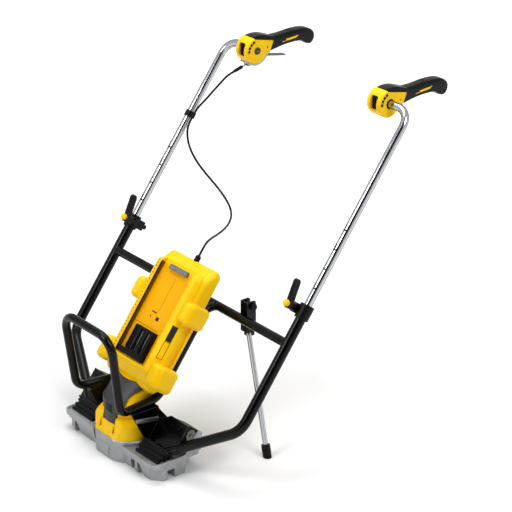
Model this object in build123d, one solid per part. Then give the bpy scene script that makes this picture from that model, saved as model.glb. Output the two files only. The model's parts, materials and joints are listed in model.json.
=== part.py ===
from build123d import *
import os
from math import cos, radians, sin, tan

os.makedirs("parts", exist_ok=True)

# Vibrating screed: an exciter base with a battery motor, carried on rubber in a leaning tube
# frame with telescopic handlebars. Millimetres, +Z up, +Y towards the operator. The origin
# is on the ground, under the exciter shaft.

# Clearances
RUN_GAP = 0.05              # radial clearance of a running fit
SEAT_GAP = 0.3              # curved faces that sit beside each other
SIDE_GAP = 0.4              # free play beside a moving piece

# Leaning tube frame, measured along the lean (s), in front of it (h) and across (x)
LEAN_ANGLE = 37.5           # from the vertical
FRAME_Y = 70.0              # corner of the side tubes' lower bend
FRAME_Z = 157.0
TUBE_SPACING = 660.0
SIDE_TUBE_OD = 25.4
SIDE_TUBE_WALL = 2.0
SIDE_TUBE_TOP = 322.0
SIDE_BEND_RADIUS = 60.0
SIDE_BEND_TURN = 53.6
SIDE_LOWER_RUN = 238.0
CROSS_TUBE_OD = 22.0
CROSS_TUBE_WALL = 2.0
CROSS_TUBE_S = 226.0

# Cradle tube, which is also the lift handle
CRADLE_OD = 21.0
CRADLE_WALL = 2.0
CRADLE_HALF = 72.0          # up-runs behind the housing
CRADLE_LOW_S = -31.0        # where the up-runs turn forwards
CRADLE_FRONT_HALF = 88.0    # front legs
CRADLE_FRONT_Y = -92.0
CRADLE_FRONT_Z = 154.0
HANDLE_Y = -116.0
HANDLE_Z = 357.0
HANDLE_HALF = 93.0
CRADLE_ELBOW_RADIUS = 30.0
CRADLE_REAR_RADIUS = 45.0
CRADLE_FRONT_RADIUS = 28.0
HANDLE_RADIUS = 42.0

# Base casting
BASE_LENGTH = 368.0
FLANGE_TOP = 44.0
FLANGE_THICK = 8.0
FLANGE_FRONT = -70.0
FLANGE_REAR = 70.0
FLANGE_CORNER = 18.0
LIP_WIDTH = 5.0
LIP_HEIGHT = 3.0
LIP_REAR = 24.0             # where the raised lip ends on the sides
SOLE_FRONT = -63.0
SOLE_REAR = 18.0
WING_START = 58.0
CORNER_CUT_X = 24.0         # outer front corners of the wings below the flange
CORNER_CUT_Y = 20.0
CHANNEL_FRONT = -32.0       # blade channel in the sole
CHANNEL_WIDTH = 22.0
CHANNEL_HEIGHT = 24.0
NOTCH_STARTS = (-165.0, 88.0)
NOTCH_WIDTH = 46.0
NOTCH_HEIGHT = 31.0
NOTCH_SHOULDER = 8.0
NOTCH_DEPTH = 26.0
NOTCH_SLANT = 12.0
BOWL_RADIUS = 86.0
BOWL_TOP = 57.0
BOWL_SHOULDER = 3.0
BOWL_FACET_Y = -79.0
PAD_WIDTH = 34.0            # raised pad on the bowl's front
PAD_LOW = 10.0
PAD_HIGH = 36.0
PAD_PROUD = 2.0
CHAMBER_RADIUS = 59.0
CHAMBER_FLOOR = 30.0
LUG_INNER = 128.0           # rear lugs that carry the rear isolators
LUG_OUTER = 182.0
LUG_THICK = 14.0
LUG_DROP = 2.0              # lugs reach below the isolators by this

# Exciter and motor
SHAFT_D = 12.0
SHAFT_TOP = 137.0
BEARING_OD = 32.0
BEARING_THICK = 10.0
BOSS_WALL = 6.0
WEIGHT_RADIUS = 52.0
WEIGHT_BOTTOM = 46.0
WEIGHT_HEIGHT = 36.0
WEIGHT_HUB_RADIUS = 17.0
COVER_RADIUS = 78.0
COVER_CENTRE_Y = -8.0
COVER_WALL = 4.0
COVER_SHOULDER_Z = 92.0
COVER_TOP = 104.0
COVER_TOP_RADIUS = 69.0
COVER_FRONT_LOW = -76.5     # sloping front face, at the bowl and at the top
COVER_FRONT_HIGH = -61.0
COVER_SCREWS = [(25.5, -68.5), (46.0, 44.0)]
COVER_SEAT_Z = 63.0
SCREW_D = 4.0
SCREW_HEAD_D = 8.0
SCREW_HEAD_H = 3.0
SCREW_GRIP = 9.0
NECK_RADIUS = 61.0
NECK_WALL = 4.0
NECK_SHOULDER_Z = 142.0     # above it the neck leans back under the battery housing
NECK_TOP = 188.0
NECK_TOP_HALF = 58.0
NECK_TOP_FRONT = -12.0
NECK_FLOOR = 5.0
SHROUD_WALL = 4.0
TONGUE_WIDTH = 48.0
TONGUE_BOTTOM = 88.0
TONGUE_TOP = 116.0
TONGUE_CORNER = 6.0
SHROUD_CUT_Y = 12.0         # round side cut of the shroud
SHROUD_CUT_Z = 108.0
SHROUD_CUT_RADIUS = 68.0
STATOR_BOTTOM = 111.0
STATOR_HEIGHT = 25.0
STATOR_BORE = 54.0
STATOR_TEETH = 12
TOOTH_GAP = 2.0
STATOR_RING = 11.0
AIR_GAP = 0.6

# Saddle brackets and rubber isolators
SADDLE_ANGLE = 40.0         # rise of the front isolators' axis
SADDLE_Y = -26.0            # front edge of the front plate
SADDLE_Z = 71.0
SADDLE_INNER = 86.0
SADDLE_OUTER = 176.0
SADDLE_DEPTH = 28.0
SADDLE_PLATE = 5.0
REAR_PLATE_H = 6.0
REAR_PLATE_TOP = -52.0
REAR_PLATE_OUTER = 186.0
GUSSET_X = 86.0
GUSSET_BAR_WIDTH = 15.0
GUSSET_FRONT = -60.0
GUSSET_REAR = 16.0
GUSSET_TAPER = 84.0         # outer reach of the rear plate's straight lower edge
TUBE_GROUND_GAP = 3.0
ISOLATOR_INNER = 87.0
ISOLATOR_OUTER = 173.0
ISOLATOR_RIDGES = 3
ISOLATOR_RIDGE = 8.6
ISOLATOR_PITCH = 12.2
ISOLATOR_GROOVE = 4.0
RIDGE_ROUND = 3.4
REAR_ISOLATOR_INNER = 126.0
REAR_ISOLATOR_OUTER = 184.0
REAR_ISOLATOR_LENGTH = 36.0
REAR_ISOLATOR_HEIGHT = 35.0
REAR_ISOLATOR_RIBS = 4
REAR_RIB = 6.3
REAR_RIB_ROUND = 2.7
NUT_D = 8.0
NUT_H = 4.0
NUT_INSET = 4.8             # from the front plate's edge

# Battery housing, in the lean frame
HOUSING_WIDTH = 180.0
HOUSING_BACK = 40.0
HOUSING_FRONT = 104.6       # rails and chin
HOUSING_BOTTOM = -30.0
HOUSING_TOP = 302.0
HOUSING_WALL = 4.0
HOUSING_EDGE = 14.0
PILLOW_STEP = 1.2           # the ends' rounding is this much smaller than the corners'
BOTTOM_SLANT = 22.0         # the bottom rises towards the back by this
BOTTOM_LOW_H = 61.0         # where the bottom is lowest
SHELL_CHIN_H = 76.0
SHELL_CHIN_S = -8.0
COVER_SPLIT = 46.0
CHIN_S = 14.0
CHIN_LOW_S = -28.0
CHIN_LOW_H = 80.0
TRAY_DEPTH = 40.0           # how far the rails reach into the shell
TRAY_EDGE = 21.0
RAIL_TOP = 272.0
RAIL_OUTER = 84.0
HOOD_S = 258.0              # the hood falls away from the bay's floor above this
HOOD_LOW_H = 60.0
HOOD_CREST = 30.0
TOP_SLANT = 16.0
BAY_WIDTH = 118.0
BAY_BOTTOM = 19.0
BAY_FLOOR = 89.0
SIDE_CHANNEL_DEPTH = 7.0
SIDE_CHANNEL_LOW = 56.0
SIDE_CHANNEL_HIGH = 78.0
BUMPER_LAP = 14.0           # how far the bumpers reach in over the housing's side
BUMPER_HIGH = 107.0
BUMPERS = {"lower": (-16.0, 44.0, 28.0, 38.0),     # from s to s, proud of the side, low h
           "upper": (150.0, 206.0, 22.0, 36.0)}
BUMPER_ROUND = 15.0
BUMPER_SHOULDER = 20.0
TERMINAL_WIDTH = 71.0
TERMINAL_BOTTOM = 23.0
TERMINAL_TOP = 100.0
TERMINAL_HEIGHT = 11.0
TERMINAL_BAR_X = -58.0
TERMINAL_BAR_TOP = 36.0
TERMINAL_SLOTS = (-20.0, -4.0, 20.0)
CONTACT_THICK = 1.5
CONTACT_LENGTH = 40.0
CONTACT_HEIGHT = 8.0
CONTACT_SUNK = 1.6
CATCH_WIDTH = 66.0
CATCH_BOTTOM = 250.0
CATCH_TOP = 263.0
CATCH_HEIGHT = 7.0
CATCH_CORNER = 2.1
BOARD_WIDTH = 116.0
BOARD_BOTTOM = 50.0
BOARD_TOP = 230.0
BOARD_HEIGHT = 16.0
CAN_HEIGHT = 10.0           # round parts on the board stand proud of it
POST_X = 70.0
POST_S = (8.0, 130.0, 266.0)
POST_D = 11.0

# Clamps, levers and handlebars
CLAMP_S = 308.5
CLAMP_HEIGHT = 36.0
CLAMP_WALL = 4.5
CLAMP_BOLT_OFFSET = 18.0
CLAMP_BOLT_D = 6.0
CLAMP_EAR_END = 10.0
CLAMP_SPLIT = 2.0
CLAMP_TAIL = 30.0
CLAMP_EAR_HEIGHT = 24.0
LEVER_HUB_D = 21.0
LEVER_HUB_TOP = 45.0
LEVER_LENGTH = 55.0
LEVER_WIDTH = 12.0
LEVER_TIP_H = 50.0
LEVER_TIP_D = 14.0
LEVER_TIP_ROUND = 4.2
LEVER_ROOT = 14.4           # depth of the arm at the hub
CLAMP_BUTTON_D = 16.0
CLAMP_BUTTON_EDGE = 1.9
CLAMP_BUTTON_TOP = 50.5
CLAMP_BUTTON_TRAVEL = 3.0
CLAMP_BUTTON_SEAT = 37.5
BAR_OD = 19.0
BAR_WALL = 1.5
BAR_BOTTOM = 190.0
BAR_CORNER = 825.5
BAR_BEND_RADIUS = 38.0
BUSH_LENGTH = 40.0
CLIP_S = 614.0
CLIP_HEIGHT = 16.0
CLIP_WALL = 2.5

# Grips, about the handlebar's stub axis: y and z are measured from it
HUB_INNER = 218.0
HUB_OUTER = 263.0
HUB_RADIUS = 34.0
STUB_END = 229.0
NECK_REAR_TOP = (57.0, 14.0)
NECK_REAR_BOTTOM = (45.0, -15.0)
NECK_UNDER = 27.0
SADDLE_TOP = [(-8.0, 35.0), (14.0, 36.0), (34.0, 32.5), (60.0, 23.0)]
SADDLE_TIP = (-8.0, 30.0)
SLEEVE_ROUND = [(60.0, 23.0), (88.0, 22.5), (124.0, 24.0), (158.0, 23.0), (182.0, 17.0), (197.0, 3.0),
                (196.0, -13.0), (184.0, -23.0), (168.0, -17.0), (150.0, -5.0), (108.0, -3.0),
                NECK_REAR_BOTTOM]
SADDLE_SHARE = 0.755        # widths of the saddle and the sleeve beside the hub's
SLEEVE_SHARE = 0.645
SHELL_EDGE = 4.0
SLEEVE_EDGE = 5.0
GRIP_BUTTON_D = 18.0
GRIP_BUTTON_PROUD = 3.0
GRIP_BUTTON_EDGE = 1.2
GRIP_BUTTON_TRAVEL = 2.5
WINDOW_WIDTH = 22.0
WINDOW_DEPTH = 9.0
WINDOW_HEIGHT = 34.0
WINDOW_RISE = 4.0
WINDOW_CORNER = 5.0
SLOT_DEPTH = 2.0
SLOT_WIDTH = 4.0
SLOT_LENGTH = 6.0
SLOT_RADIUS = 26.0
SLOT_ANGLES = (115.0, 135.0, 155.0, 175.0)

# Trigger and control cable, on the left grip
TRIGGER_PIVOT = (22.0, -33.0)
TRIGGER_KNEE = (45.0, -25.0)
TRIGGER_END = (104.0, -37.0)
TRIGGER_WIDTH = 13.0
TRIGGER_THICK = 4.0
TRIGGER_PIN_D = 4.0
TRIGGER_EYE_D = 9.0
TRIGGER_CHEEK = 2.0
TRIGGER_FRONT = -18.0
TRIGGER_BOTTOM = -40.0
TRIGGER_TOP = -23.8
CABLE_D = 5.6
BOOT_D = 9.0
BOOT_TIP_WALL = 0.6
BOOT_REACH = (-14.5, -45.5, -53.9)     # from the hub's middle to the boot's end
CABLE_LEAD = 18.0           # straight stretch at the boot, the clip and the gland
CLIP_LEAD = 12.0
ARC_SHARE = 0.45            # of the shorter run beside each of the cable's corners
UPPER_CABLE_POINTS = [(-272, 504, 734), (-287, 489, 709), (-303, 473, 681)]
LOWER_CABLE_POINTS = [(-312, 421, 601), (-303, 420, 570), (-286, 427, 537), (-262, 438, 507),
                      (-235, 449, 481), (-205, 454, 457), (-173, 447, 441), (-140, 425, 435),
                      (-106, 391, 437), (-77, 354, 442), (-51, 314, 449), (-30, 281, 457),
                      (-15, 256, 462), (-5, 237, 461)]
GLAND_H = 58.0
GLAND_D = 14.0
GLAND_LENGTH = 8.0
GLAND_EDGE = 2.8

# Kickstand
STAND_X = 160.0
STAND_PIVOT_Y = 235.0
STAND_PIVOT_Z = 362.0
STAND_CHANNEL = 24.0
STAND_PLATE = 3.2
STAND_CHEEK_BOTTOM = 297.0
STAND_CHEEK_DEPTH = 27.0
STAND_CHEEK_ROUND = 6.4
STAND_CHEEK_TOP = 13.5      # above the pivot
STAND_BOLT_D = 8.0
STAND_KNOB_D = 17.0
STAND_KNOB_H = 7.0
STAND_NUT_D = 13.6
STAND_HEAD_D = 18.0
STAND_HEAD_BOTTOM = 284.0
STAND_ROD_D = 12.0
STAND_ROD_AHEAD = 3.6       # rod's top in front of the pivot
STAND_SOCKET = 16.0
STAND_ROD_IN_FOOT = 15.5    # rod's end above the ground, along the rod
STAND_FOOT = (252.0, 214.5)
STAND_FOOT_D = 21.0
STAND_FOOT_H = 31.0

# Places worked out from the sizes above
LEAN_SIN = sin(radians(LEAN_ANGLE))
LEAN_COS = cos(radians(LEAN_ANGLE))
LEAN_PLANE = Plane(origin=(0, FRAME_Y, FRAME_Z), x_dir=(1, 0, 0), z_dir=(0, -LEAN_COS, LEAN_SIN))
LEAN = LEAN_PLANE.location
TUBE_X = TUBE_SPACING / 2
SADDLE_RISE = Vector(0, cos(radians(SADDLE_ANGLE)), sin(radians(SADDLE_ANGLE)))
SADDLE = Plane(origin=(0, SADDLE_Y, SADDLE_Z), x_dir=(1, 0, 0), z_dir=SADDLE_RISE).location
HOUSING_HALF = HOUSING_WIDTH / 2
HUB_MIDDLE = (HUB_INNER + HUB_OUTER) / 2
SHROUD_INNER = NECK_RADIUS + SEAT_GAP
SHROUD_OUTER = SHROUD_INNER + SHROUD_WALL
REAR_LUG_H = REAR_PLATE_H - REAR_ISOLATOR_LENGTH
BOLT_X = TUBE_X - CLAMP_BOLT_OFFSET
CLAMP_EAR = SIDE_TUBE_OD / 2 + CLAMP_WALL
UPRIGHT = (Align.CENTER, Align.CENTER, Align.MIN)
nodes = {}


def lean(x, s, h):
    """Point given across, along and in front of the leaning frame."""
    return LEAN_PLANE.from_local_coords(Vector(x, s, h))


STUB = lean(0, BAR_CORNER, 0)
CLIP_X = TUBE_X - BAR_OD / 2 - CLIP_WALL - CABLE_D / 2
CLIP_TOP = CLIP_S + CLIP_HEIGHT / 2
CLIP_BOTTOM = CLIP_S - CLIP_HEIGHT / 2


# Shared shapes
def block(x0, x1, y0, y1, z0, z1):
    """Box between two corners."""
    middle = Pos((x0 + x1) / 2, (y0 + y1) / 2, (z0 + z1) / 2)
    return middle * Box(x1 - x0, y1 - y0, z1 - z0)


def prism(points, x0, x1):
    """Solid with a side outline, given in y and z, between two places across."""
    outline = make_face(Polyline(*points, close=True))
    return Pos(x0, 0, 0) * extrude(Plane.YZ * outline, amount=x1 - x0, dir=(1, 0, 0))


def turned(points):
    """Solid of revolution about the exciter shaft, from radius and height."""
    return revolve(Plane.XZ * make_face(Polyline(*points, close=True)), axis=Axis.Z)


def rod(start, end, diameter):
    """Round bar between two points."""
    start = Vector(start)
    along = Vector(end) - start
    return Plane(origin=start, z_dir=along).location * Cylinder(diameter / 2, along.length, align=UPRIGHT)


def disc(diameter, z0, z1):
    """Upright round bar on the shaft axis."""
    return Pos(0, 0, z0) * Cylinder(diameter / 2, z1 - z0, align=UPRIGHT)


def swept(path, outer, wall=0):
    """Round bar or tube along a path."""
    ring = Circle(outer / 2)
    if wall:
        ring = ring - Circle(outer / 2 - wall)
    return sweep(Plane(origin=path @ 0, z_dir=path % 0) * ring, path=path)


def hexagon(across, height):
    """Hexagon nut or bolt head standing on z = 0."""
    return extrude(RegularPolygon(across / 2, 6, major_radius=False), amount=height)


def mirrored(shape):
    """The same piece on the left."""
    return mirror(shape, about=Plane.YZ)


def pair(name, right_piece):
    """A right piece and its mirror image on the left."""
    nodes["right_" + name] = right_piece
    nodes["left_" + name] = mirrored(right_piece)


# Tube frame
def side_tube_path():
    run = SIDE_LOWER_RUN
    turn = radians(SIDE_BEND_TURN)
    foot = lean(TUBE_X - run * sin(turn), -run * cos(turn), 0)
    corner = lean(TUBE_X, 0, 0)
    return FilletPolyline(foot, corner, lean(TUBE_X, SIDE_TUBE_TOP, 0), radius=SIDE_BEND_RADIUS)


def side_tube():
    """Side tube, cut where its foot meets the saddle's front plate and above the base."""
    reach = SIDE_LOWER_RUN
    below_plate = SADDLE * block(0, TUBE_X, -reach, reach, -reach, 0)
    near_base = block(0, TUBE_X, -reach, reach, 0, FLANGE_TOP + TUBE_GROUND_GAP)
    return swept(side_tube_path(), SIDE_TUBE_OD, SIDE_TUBE_WALL) - below_plate - near_base


def cross_tube():
    axis = lean(0, CROSS_TUBE_S, 0)
    ends = [Vector(side * TUBE_X, axis.Y, axis.Z) for side in (-1, 1)]
    tube = rod(*ends, CROSS_TUBE_OD) - rod(*ends, CROSS_TUBE_OD - 2 * CROSS_TUBE_WALL)
    for side in (-1, 1):
        tube -= LEAN * rod((side * TUBE_X, 0, 0), (side * TUBE_X, SIDE_TUBE_TOP, 0), SIDE_TUBE_OD)
    return tube


def cradle_points():
    """Right half of the cradle, from the cross tube to the handle's corner."""
    weld = lean(CRADLE_HALF, CROSS_TUBE_S, 0)
    run_h = HOUSING_BACK - SEAT_GAP - CRADLE_OD / 2
    elbow_s = CROSS_TUBE_S - run_h * LEAN_SIN / LEAN_COS
    return [weld, lean(CRADLE_HALF, elbow_s, run_h), lean(CRADLE_HALF, CRADLE_LOW_S, run_h),
            Vector(CRADLE_FRONT_HALF, CRADLE_FRONT_Y, CRADLE_FRONT_Z),
            Vector(HANDLE_HALF, HANDLE_Y, HANDLE_Z)]


def cradle_tube():
    right = cradle_points()
    left = [Vector(-p.X, p.Y, p.Z) for p in reversed(right)]
    radii = [CRADLE_ELBOW_RADIUS, CRADLE_REAR_RADIUS, CRADLE_FRONT_RADIUS, HANDLE_RADIUS]
    path = FilletPolyline(*right, *left, radius=radii + radii[::-1])
    weld = right[0]
    cross = rod((-TUBE_X, weld.Y, weld.Z), (TUBE_X, weld.Y, weld.Z), CROSS_TUBE_OD)
    return swept(path, CRADLE_OD, CRADLE_WALL) - cross


# Base, exciter and motor
def base_casting():
    half = BASE_LENGTH / 2
    under = FLANGE_TOP - FLANGE_THICK
    outline = [(FLANGE_FRONT, FLANGE_TOP), (FLANGE_FRONT, under), (SOLE_FRONT, 0), (SOLE_REAR, 0),
               (SOLE_REAR + FLANGE_THICK, under), (FLANGE_REAR, under), (FLANGE_REAR, FLANGE_TOP)]
    wings = prism(outline, WING_START, half) + prism(outline, -half, -WING_START)
    wings = wings & flange_plan(0, FLANGE_TOP)
    for start in NOTCH_STARTS:
        notch = [(start, 0), (start, NOTCH_HEIGHT - NOTCH_SHOULDER), (start + NOTCH_SLANT / 2, NOTCH_HEIGHT),
                 (start + NOTCH_WIDTH - NOTCH_SLANT, NOTCH_HEIGHT), (start + NOTCH_WIDTH, 0)]
        face = Plane.XZ * make_face(Polyline(*notch, close=True))
        wings -= Pos(0, FLANGE_FRONT, 0) * extrude(face, amount=NOTCH_DEPTH, dir=(0, 1, 0))
    for side in (-1, 1):
        inner = side * (half - CORNER_CUT_X)
        corner = [(side * half, FLANGE_FRONT), (side * half, SOLE_FRONT + CORNER_CUT_Y),
                  (inner, SOLE_FRONT), (inner, FLANGE_FRONT)]
        wings -= extrude(make_face(Polyline(*corner, close=True)), amount=under)
    lip_top = FLANGE_TOP + LIP_HEIGHT
    lip = flange_plan(0, lip_top) - flange_plan(LIP_WIDTH, lip_top)
    lip = lip & (block(WING_START, half, -half, LIP_REAR, under, lip_top)
                 + block(-half, -WING_START, -half, LIP_REAR, under, lip_top))
    bowl = disc(2 * BOWL_RADIUS, 0, BOWL_TOP)
    bowl = chamfer(bowl.edges().sort_by(Axis.Z)[-1], BOWL_SHOULDER)
    bowl -= block(-half, half, -half, BOWL_FACET_Y, 0, BOWL_TOP)
    pad = block(-PAD_WIDTH / 2, PAD_WIDTH / 2, BOWL_FACET_Y - PAD_PROUD, 0, PAD_LOW, PAD_HIGH)
    chamber = disc(2 * CHAMBER_RADIUS, CHAMBER_FLOOR, BOWL_TOP)
    seat_top = CHAMBER_FLOOR + BEARING_THICK
    boss = disc(BEARING_OD + 2 * BOSS_WALL, CHAMBER_FLOOR, seat_top)
    boss -= disc(BEARING_OD, CHAMBER_FLOOR, seat_top)
    channel = block(-half, half, CHANNEL_FRONT, CHANNEL_FRONT + CHANNEL_WIDTH, 0, CHANNEL_HEIGHT)
    base = wings + lip + bowl + pad - chamber + boss - channel
    for lug in rear_lugs():
        base += lug
    for x, y in cover_screw_places():
        base -= Pos(x, y, 0) * disc(SCREW_D, COVER_SEAT_Z - SCREW_GRIP - SCREW_HEAD_H, BOWL_TOP)
    return base


def flange_plan(inset, top):
    """Block of the flange's rounded plan, from the ground up, moved in by inset."""
    length = BASE_LENGTH - 2 * inset
    depth = FLANGE_REAR - FLANGE_FRONT - 2 * inset
    plan = RectangleRounded(length, depth, FLANGE_CORNER - inset)
    return Pos(0, (FLANGE_FRONT + FLANGE_REAR) / 2, 0) * extrude(plan, amount=top)


def rear_lugs():
    """Wedges on the flange whose front faces carry the rear isolators."""
    low = lean(0, REAR_PLATE_TOP - REAR_ISOLATOR_HEIGHT - LUG_DROP, REAR_LUG_H)
    high = lean(0, REAR_PLATE_TOP, REAR_LUG_H)
    back = lean(0, REAR_PLATE_TOP, REAR_LUG_H - LUG_THICK)
    drop = (low.Z - FLANGE_TOP) * LEAN_SIN / LEAN_COS
    outline = [(low.Y, low.Z), (high.Y, high.Z), (back.Y, back.Z), (FLANGE_REAR, FLANGE_TOP),
               (low.Y - drop, FLANGE_TOP)]
    lug = prism(outline, LUG_INNER, LUG_OUTER)
    return [lug, mirrored(lug)]


def cover_screw_places():
    return COVER_SCREWS + [(-x, y) for x, y in COVER_SCREWS]


def cover_solid(shrink):
    """Round cover with a sloping front face, all its walls moved in by shrink."""
    radius = COVER_RADIUS - shrink
    top = COVER_TOP - shrink
    form = turned([(0, BOWL_TOP), (radius, BOWL_TOP), (radius, COVER_SHOULDER_Z - shrink),
                   (COVER_TOP_RADIUS - shrink, top), (0, top)])
    ahead = -2 * COVER_RADIUS
    front = [(ahead, BOWL_TOP), (COVER_FRONT_LOW + shrink, BOWL_TOP),
             (COVER_FRONT_HIGH + shrink, COVER_TOP), (ahead, COVER_TOP)]
    return Pos(0, COVER_CENTRE_Y, 0) * form - prism(front, -COVER_RADIUS, COVER_RADIUS)


def exciter_cover():
    outer = cover_solid(0)
    cover = outer - cover_solid(COVER_WALL)
    cover -= disc(BEARING_OD + 2 * BOSS_WALL + 2 * SEAT_GAP, BOWL_TOP, COVER_TOP)
    boss_d = SCREW_HEAD_D + COVER_WALL
    for x, y in cover_screw_places():
        place = Pos(x, y, 0)
        cover += outer & (place * disc(boss_d, BOWL_TOP, COVER_TOP))
        cover -= place * disc(SCREW_D, BOWL_TOP, COVER_TOP)
        cover -= place * disc(SCREW_HEAD_D + 2 * SEAT_GAP, COVER_SEAT_Z, COVER_TOP)
    half = TONGUE_WIDTH / 2 + SEAT_GAP
    tongue_space = block(-half, half, -2 * COVER_RADIUS, 0, TONGUE_BOTTOM, COVER_TOP)
    return cover - (tongue_space - disc(2 * NECK_RADIUS, TONGUE_BOTTOM, COVER_TOP))


def neck_solid(grow):
    """Round neck that leans back above its shoulder, all its walls moved out by grow."""
    round_part = disc(2 * (NECK_RADIUS + grow), COVER_TOP, NECK_SHOULDER_Z)
    half_depth = (NECK_RADIUS - NECK_TOP_FRONT) / 2
    top_place = Pos(0, NECK_RADIUS - half_depth, NECK_TOP)
    top_face = top_place * Ellipse(NECK_TOP_HALF + grow, half_depth + grow)
    leaning = loft([Pos(0, 0, NECK_SHOULDER_Z) * Circle(NECK_RADIUS + grow), top_face])
    return round_part + leaning


def motor_housing():
    inner = NECK_RADIUS - NECK_WALL
    floor = COVER_TOP + NECK_FLOOR
    roof = NECK_SHOULDER_Z - NECK_WALL
    bearing_low = floor - BEARING_THICK
    neck = neck_solid(0) - disc(2 * inner, floor, roof)
    boss = disc(BEARING_OD + 2 * BOSS_WALL, bearing_low, floor)
    return neck + boss - disc(BEARING_OD, bearing_low, floor) - housing_solid()


def motor_shroud():
    """Front shell of the neck, with a tongue that reaches down over the cover."""
    outer = SHROUD_OUTER
    shell = neck_solid(SEAT_GAP + SHROUD_WALL) - neck_solid(SEAT_GAP)
    cut_ends = [(side * outer, SHROUD_CUT_Y, SHROUD_CUT_Z) for side in (-1, 1)]
    shell -= rod(*cut_ends, 2 * SHROUD_CUT_RADIUS)
    shell -= block(-outer, outer, SHROUD_CUT_Y, 2 * outer, COVER_TOP, NECK_TOP)
    half = TONGUE_WIDTH / 2
    for side in (-1, 1):
        across = sorted((side * half, side * outer))
        shell -= block(*across, -outer, outer, COVER_TOP, TONGUE_TOP)
    low = TONGUE_BOTTOM + SEAT_GAP
    tongue = disc(2 * outer, low, TONGUE_TOP) - disc(2 * SHROUD_INNER, low, TONGUE_TOP)
    front = block(-half, half, -outer, 0, low, TONGUE_TOP)
    front = fillet(front.edges().filter_by(Axis.Y).sort_by(Axis.Z)[:2], TONGUE_CORNER)
    return shell + (tongue & front) - housing_solid()


def exciter_bearings():
    ring = disc(BEARING_OD, 0, BEARING_THICK) - disc(SHAFT_D + 2 * RUN_GAP, 0, BEARING_THICK)
    return [Pos(0, 0, CHAMBER_FLOOR) * ring, Pos(0, 0, COVER_TOP + NECK_FLOOR - BEARING_THICK) * ring]


def motor_stator():
    outer = 2 * (NECK_RADIUS - NECK_WALL - SEAT_GAP)
    top = STATOR_BOTTOM + STATOR_HEIGHT
    stator = disc(outer, STATOR_BOTTOM, top) - disc(STATOR_BORE, STATOR_BOTTOM, top)
    half_gap = TOOTH_GAP / 2
    tooth_gap = block(0, outer / 2 - STATOR_RING, -half_gap, half_gap, STATOR_BOTTOM, top)
    for i in range(STATOR_TEETH):
        stator -= Rot(0, 0, i * 360 / STATOR_TEETH) * tooth_gap
    return stator


def motor_rotor():
    rotor_d = STATOR_BORE - 2 * AIR_GAP
    shaft = disc(SHAFT_D, CHAMBER_FLOOR + SIDE_GAP, SHAFT_TOP)
    return shaft + disc(rotor_d, STATOR_BOTTOM, STATOR_BOTTOM + STATOR_HEIGHT)


def eccentric_weight():
    top = WEIGHT_BOTTOM + WEIGHT_HEIGHT
    lobe = disc(2 * WEIGHT_RADIUS, WEIGHT_BOTTOM, top)
    lobe = lobe & block(-WEIGHT_RADIUS, WEIGHT_RADIUS, -WEIGHT_RADIUS, 0, WEIGHT_BOTTOM, top)
    return lobe + disc(2 * WEIGHT_HUB_RADIUS, WEIGHT_BOTTOM, top) - disc(SHAFT_D, WEIGHT_BOTTOM, top)


def casing_screw():
    """Screw with its head's seat at z = 0 and its shank below."""
    return disc(SCREW_HEAD_D, 0, SCREW_HEAD_H) + disc(SCREW_D, -SCREW_GRIP, 0)


def casing_screws():
    upright = [Pos(x, y, COVER_SEAT_Z) * casing_screw() for x, y in cover_screw_places()]
    seat_h = HOUSING_BACK + SCREW_HEAD_H
    backwards = [LEAN * Pos(x, s, seat_h) * Rot(180, 0, 0) * casing_screw() for x, s in post_places()]
    return upright + backwards


# Saddle brackets and isolators
def saddle_bracket():
    plate = SADDLE * block(SADDLE_INNER, SADDLE_OUTER, 0, SADDLE_DEPTH, -SADDLE_PLATE, 0)
    reach = SIDE_LOWER_RUN
    turn = radians(SIDE_BEND_TURN)
    foot_s = -reach * cos(turn)
    rear = rear_sheet([(GUSSET_X, foot_s), (REAR_PLATE_OUTER, foot_s), (REAR_PLATE_OUTER, REAR_PLATE_TOP),
                       (REAR_ISOLATOR_INNER - SADDLE_PLATE, REAR_PLATE_TOP),
                       (GUSSET_X, REAR_PLATE_TOP - SADDLE_DEPTH)])
    rear -= SADDLE * block(0, TUBE_X, -reach, reach, -reach, -SADDLE_PLATE)
    foot = lean(TUBE_X - reach * sin(turn), foot_s, 0)
    rear -= rod(foot, lean(TUBE_X, 0, 0), SIDE_TUBE_OD)
    below_tube = rear_sheet([(GUSSET_X + GUSSET_TAPER, foot_s), (TUBE_X, foot_s), (TUBE_X, 0)])
    return plate + (rear - below_tube) + gusset()


def rear_sheet(points):
    """Sheet of the rear plate's thickness, from an outline in x and s."""
    sheet = extrude(make_face(Polyline(*points, close=True)), amount=SADDLE_PLATE)
    return LEAN * (Pos(0, 0, REAR_PLATE_H) * sheet)


def bar_top(y):
    """Height of the gusset's flat bar, just below the cradle's bottom run."""
    rear, front = cradle_points()[2:4]
    slope = (front.Z - rear.Z) / (front.Y - rear.Y)
    return rear.Z + slope * (y - rear.Y) - CRADLE_OD / 2 - SEAT_GAP


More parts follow.
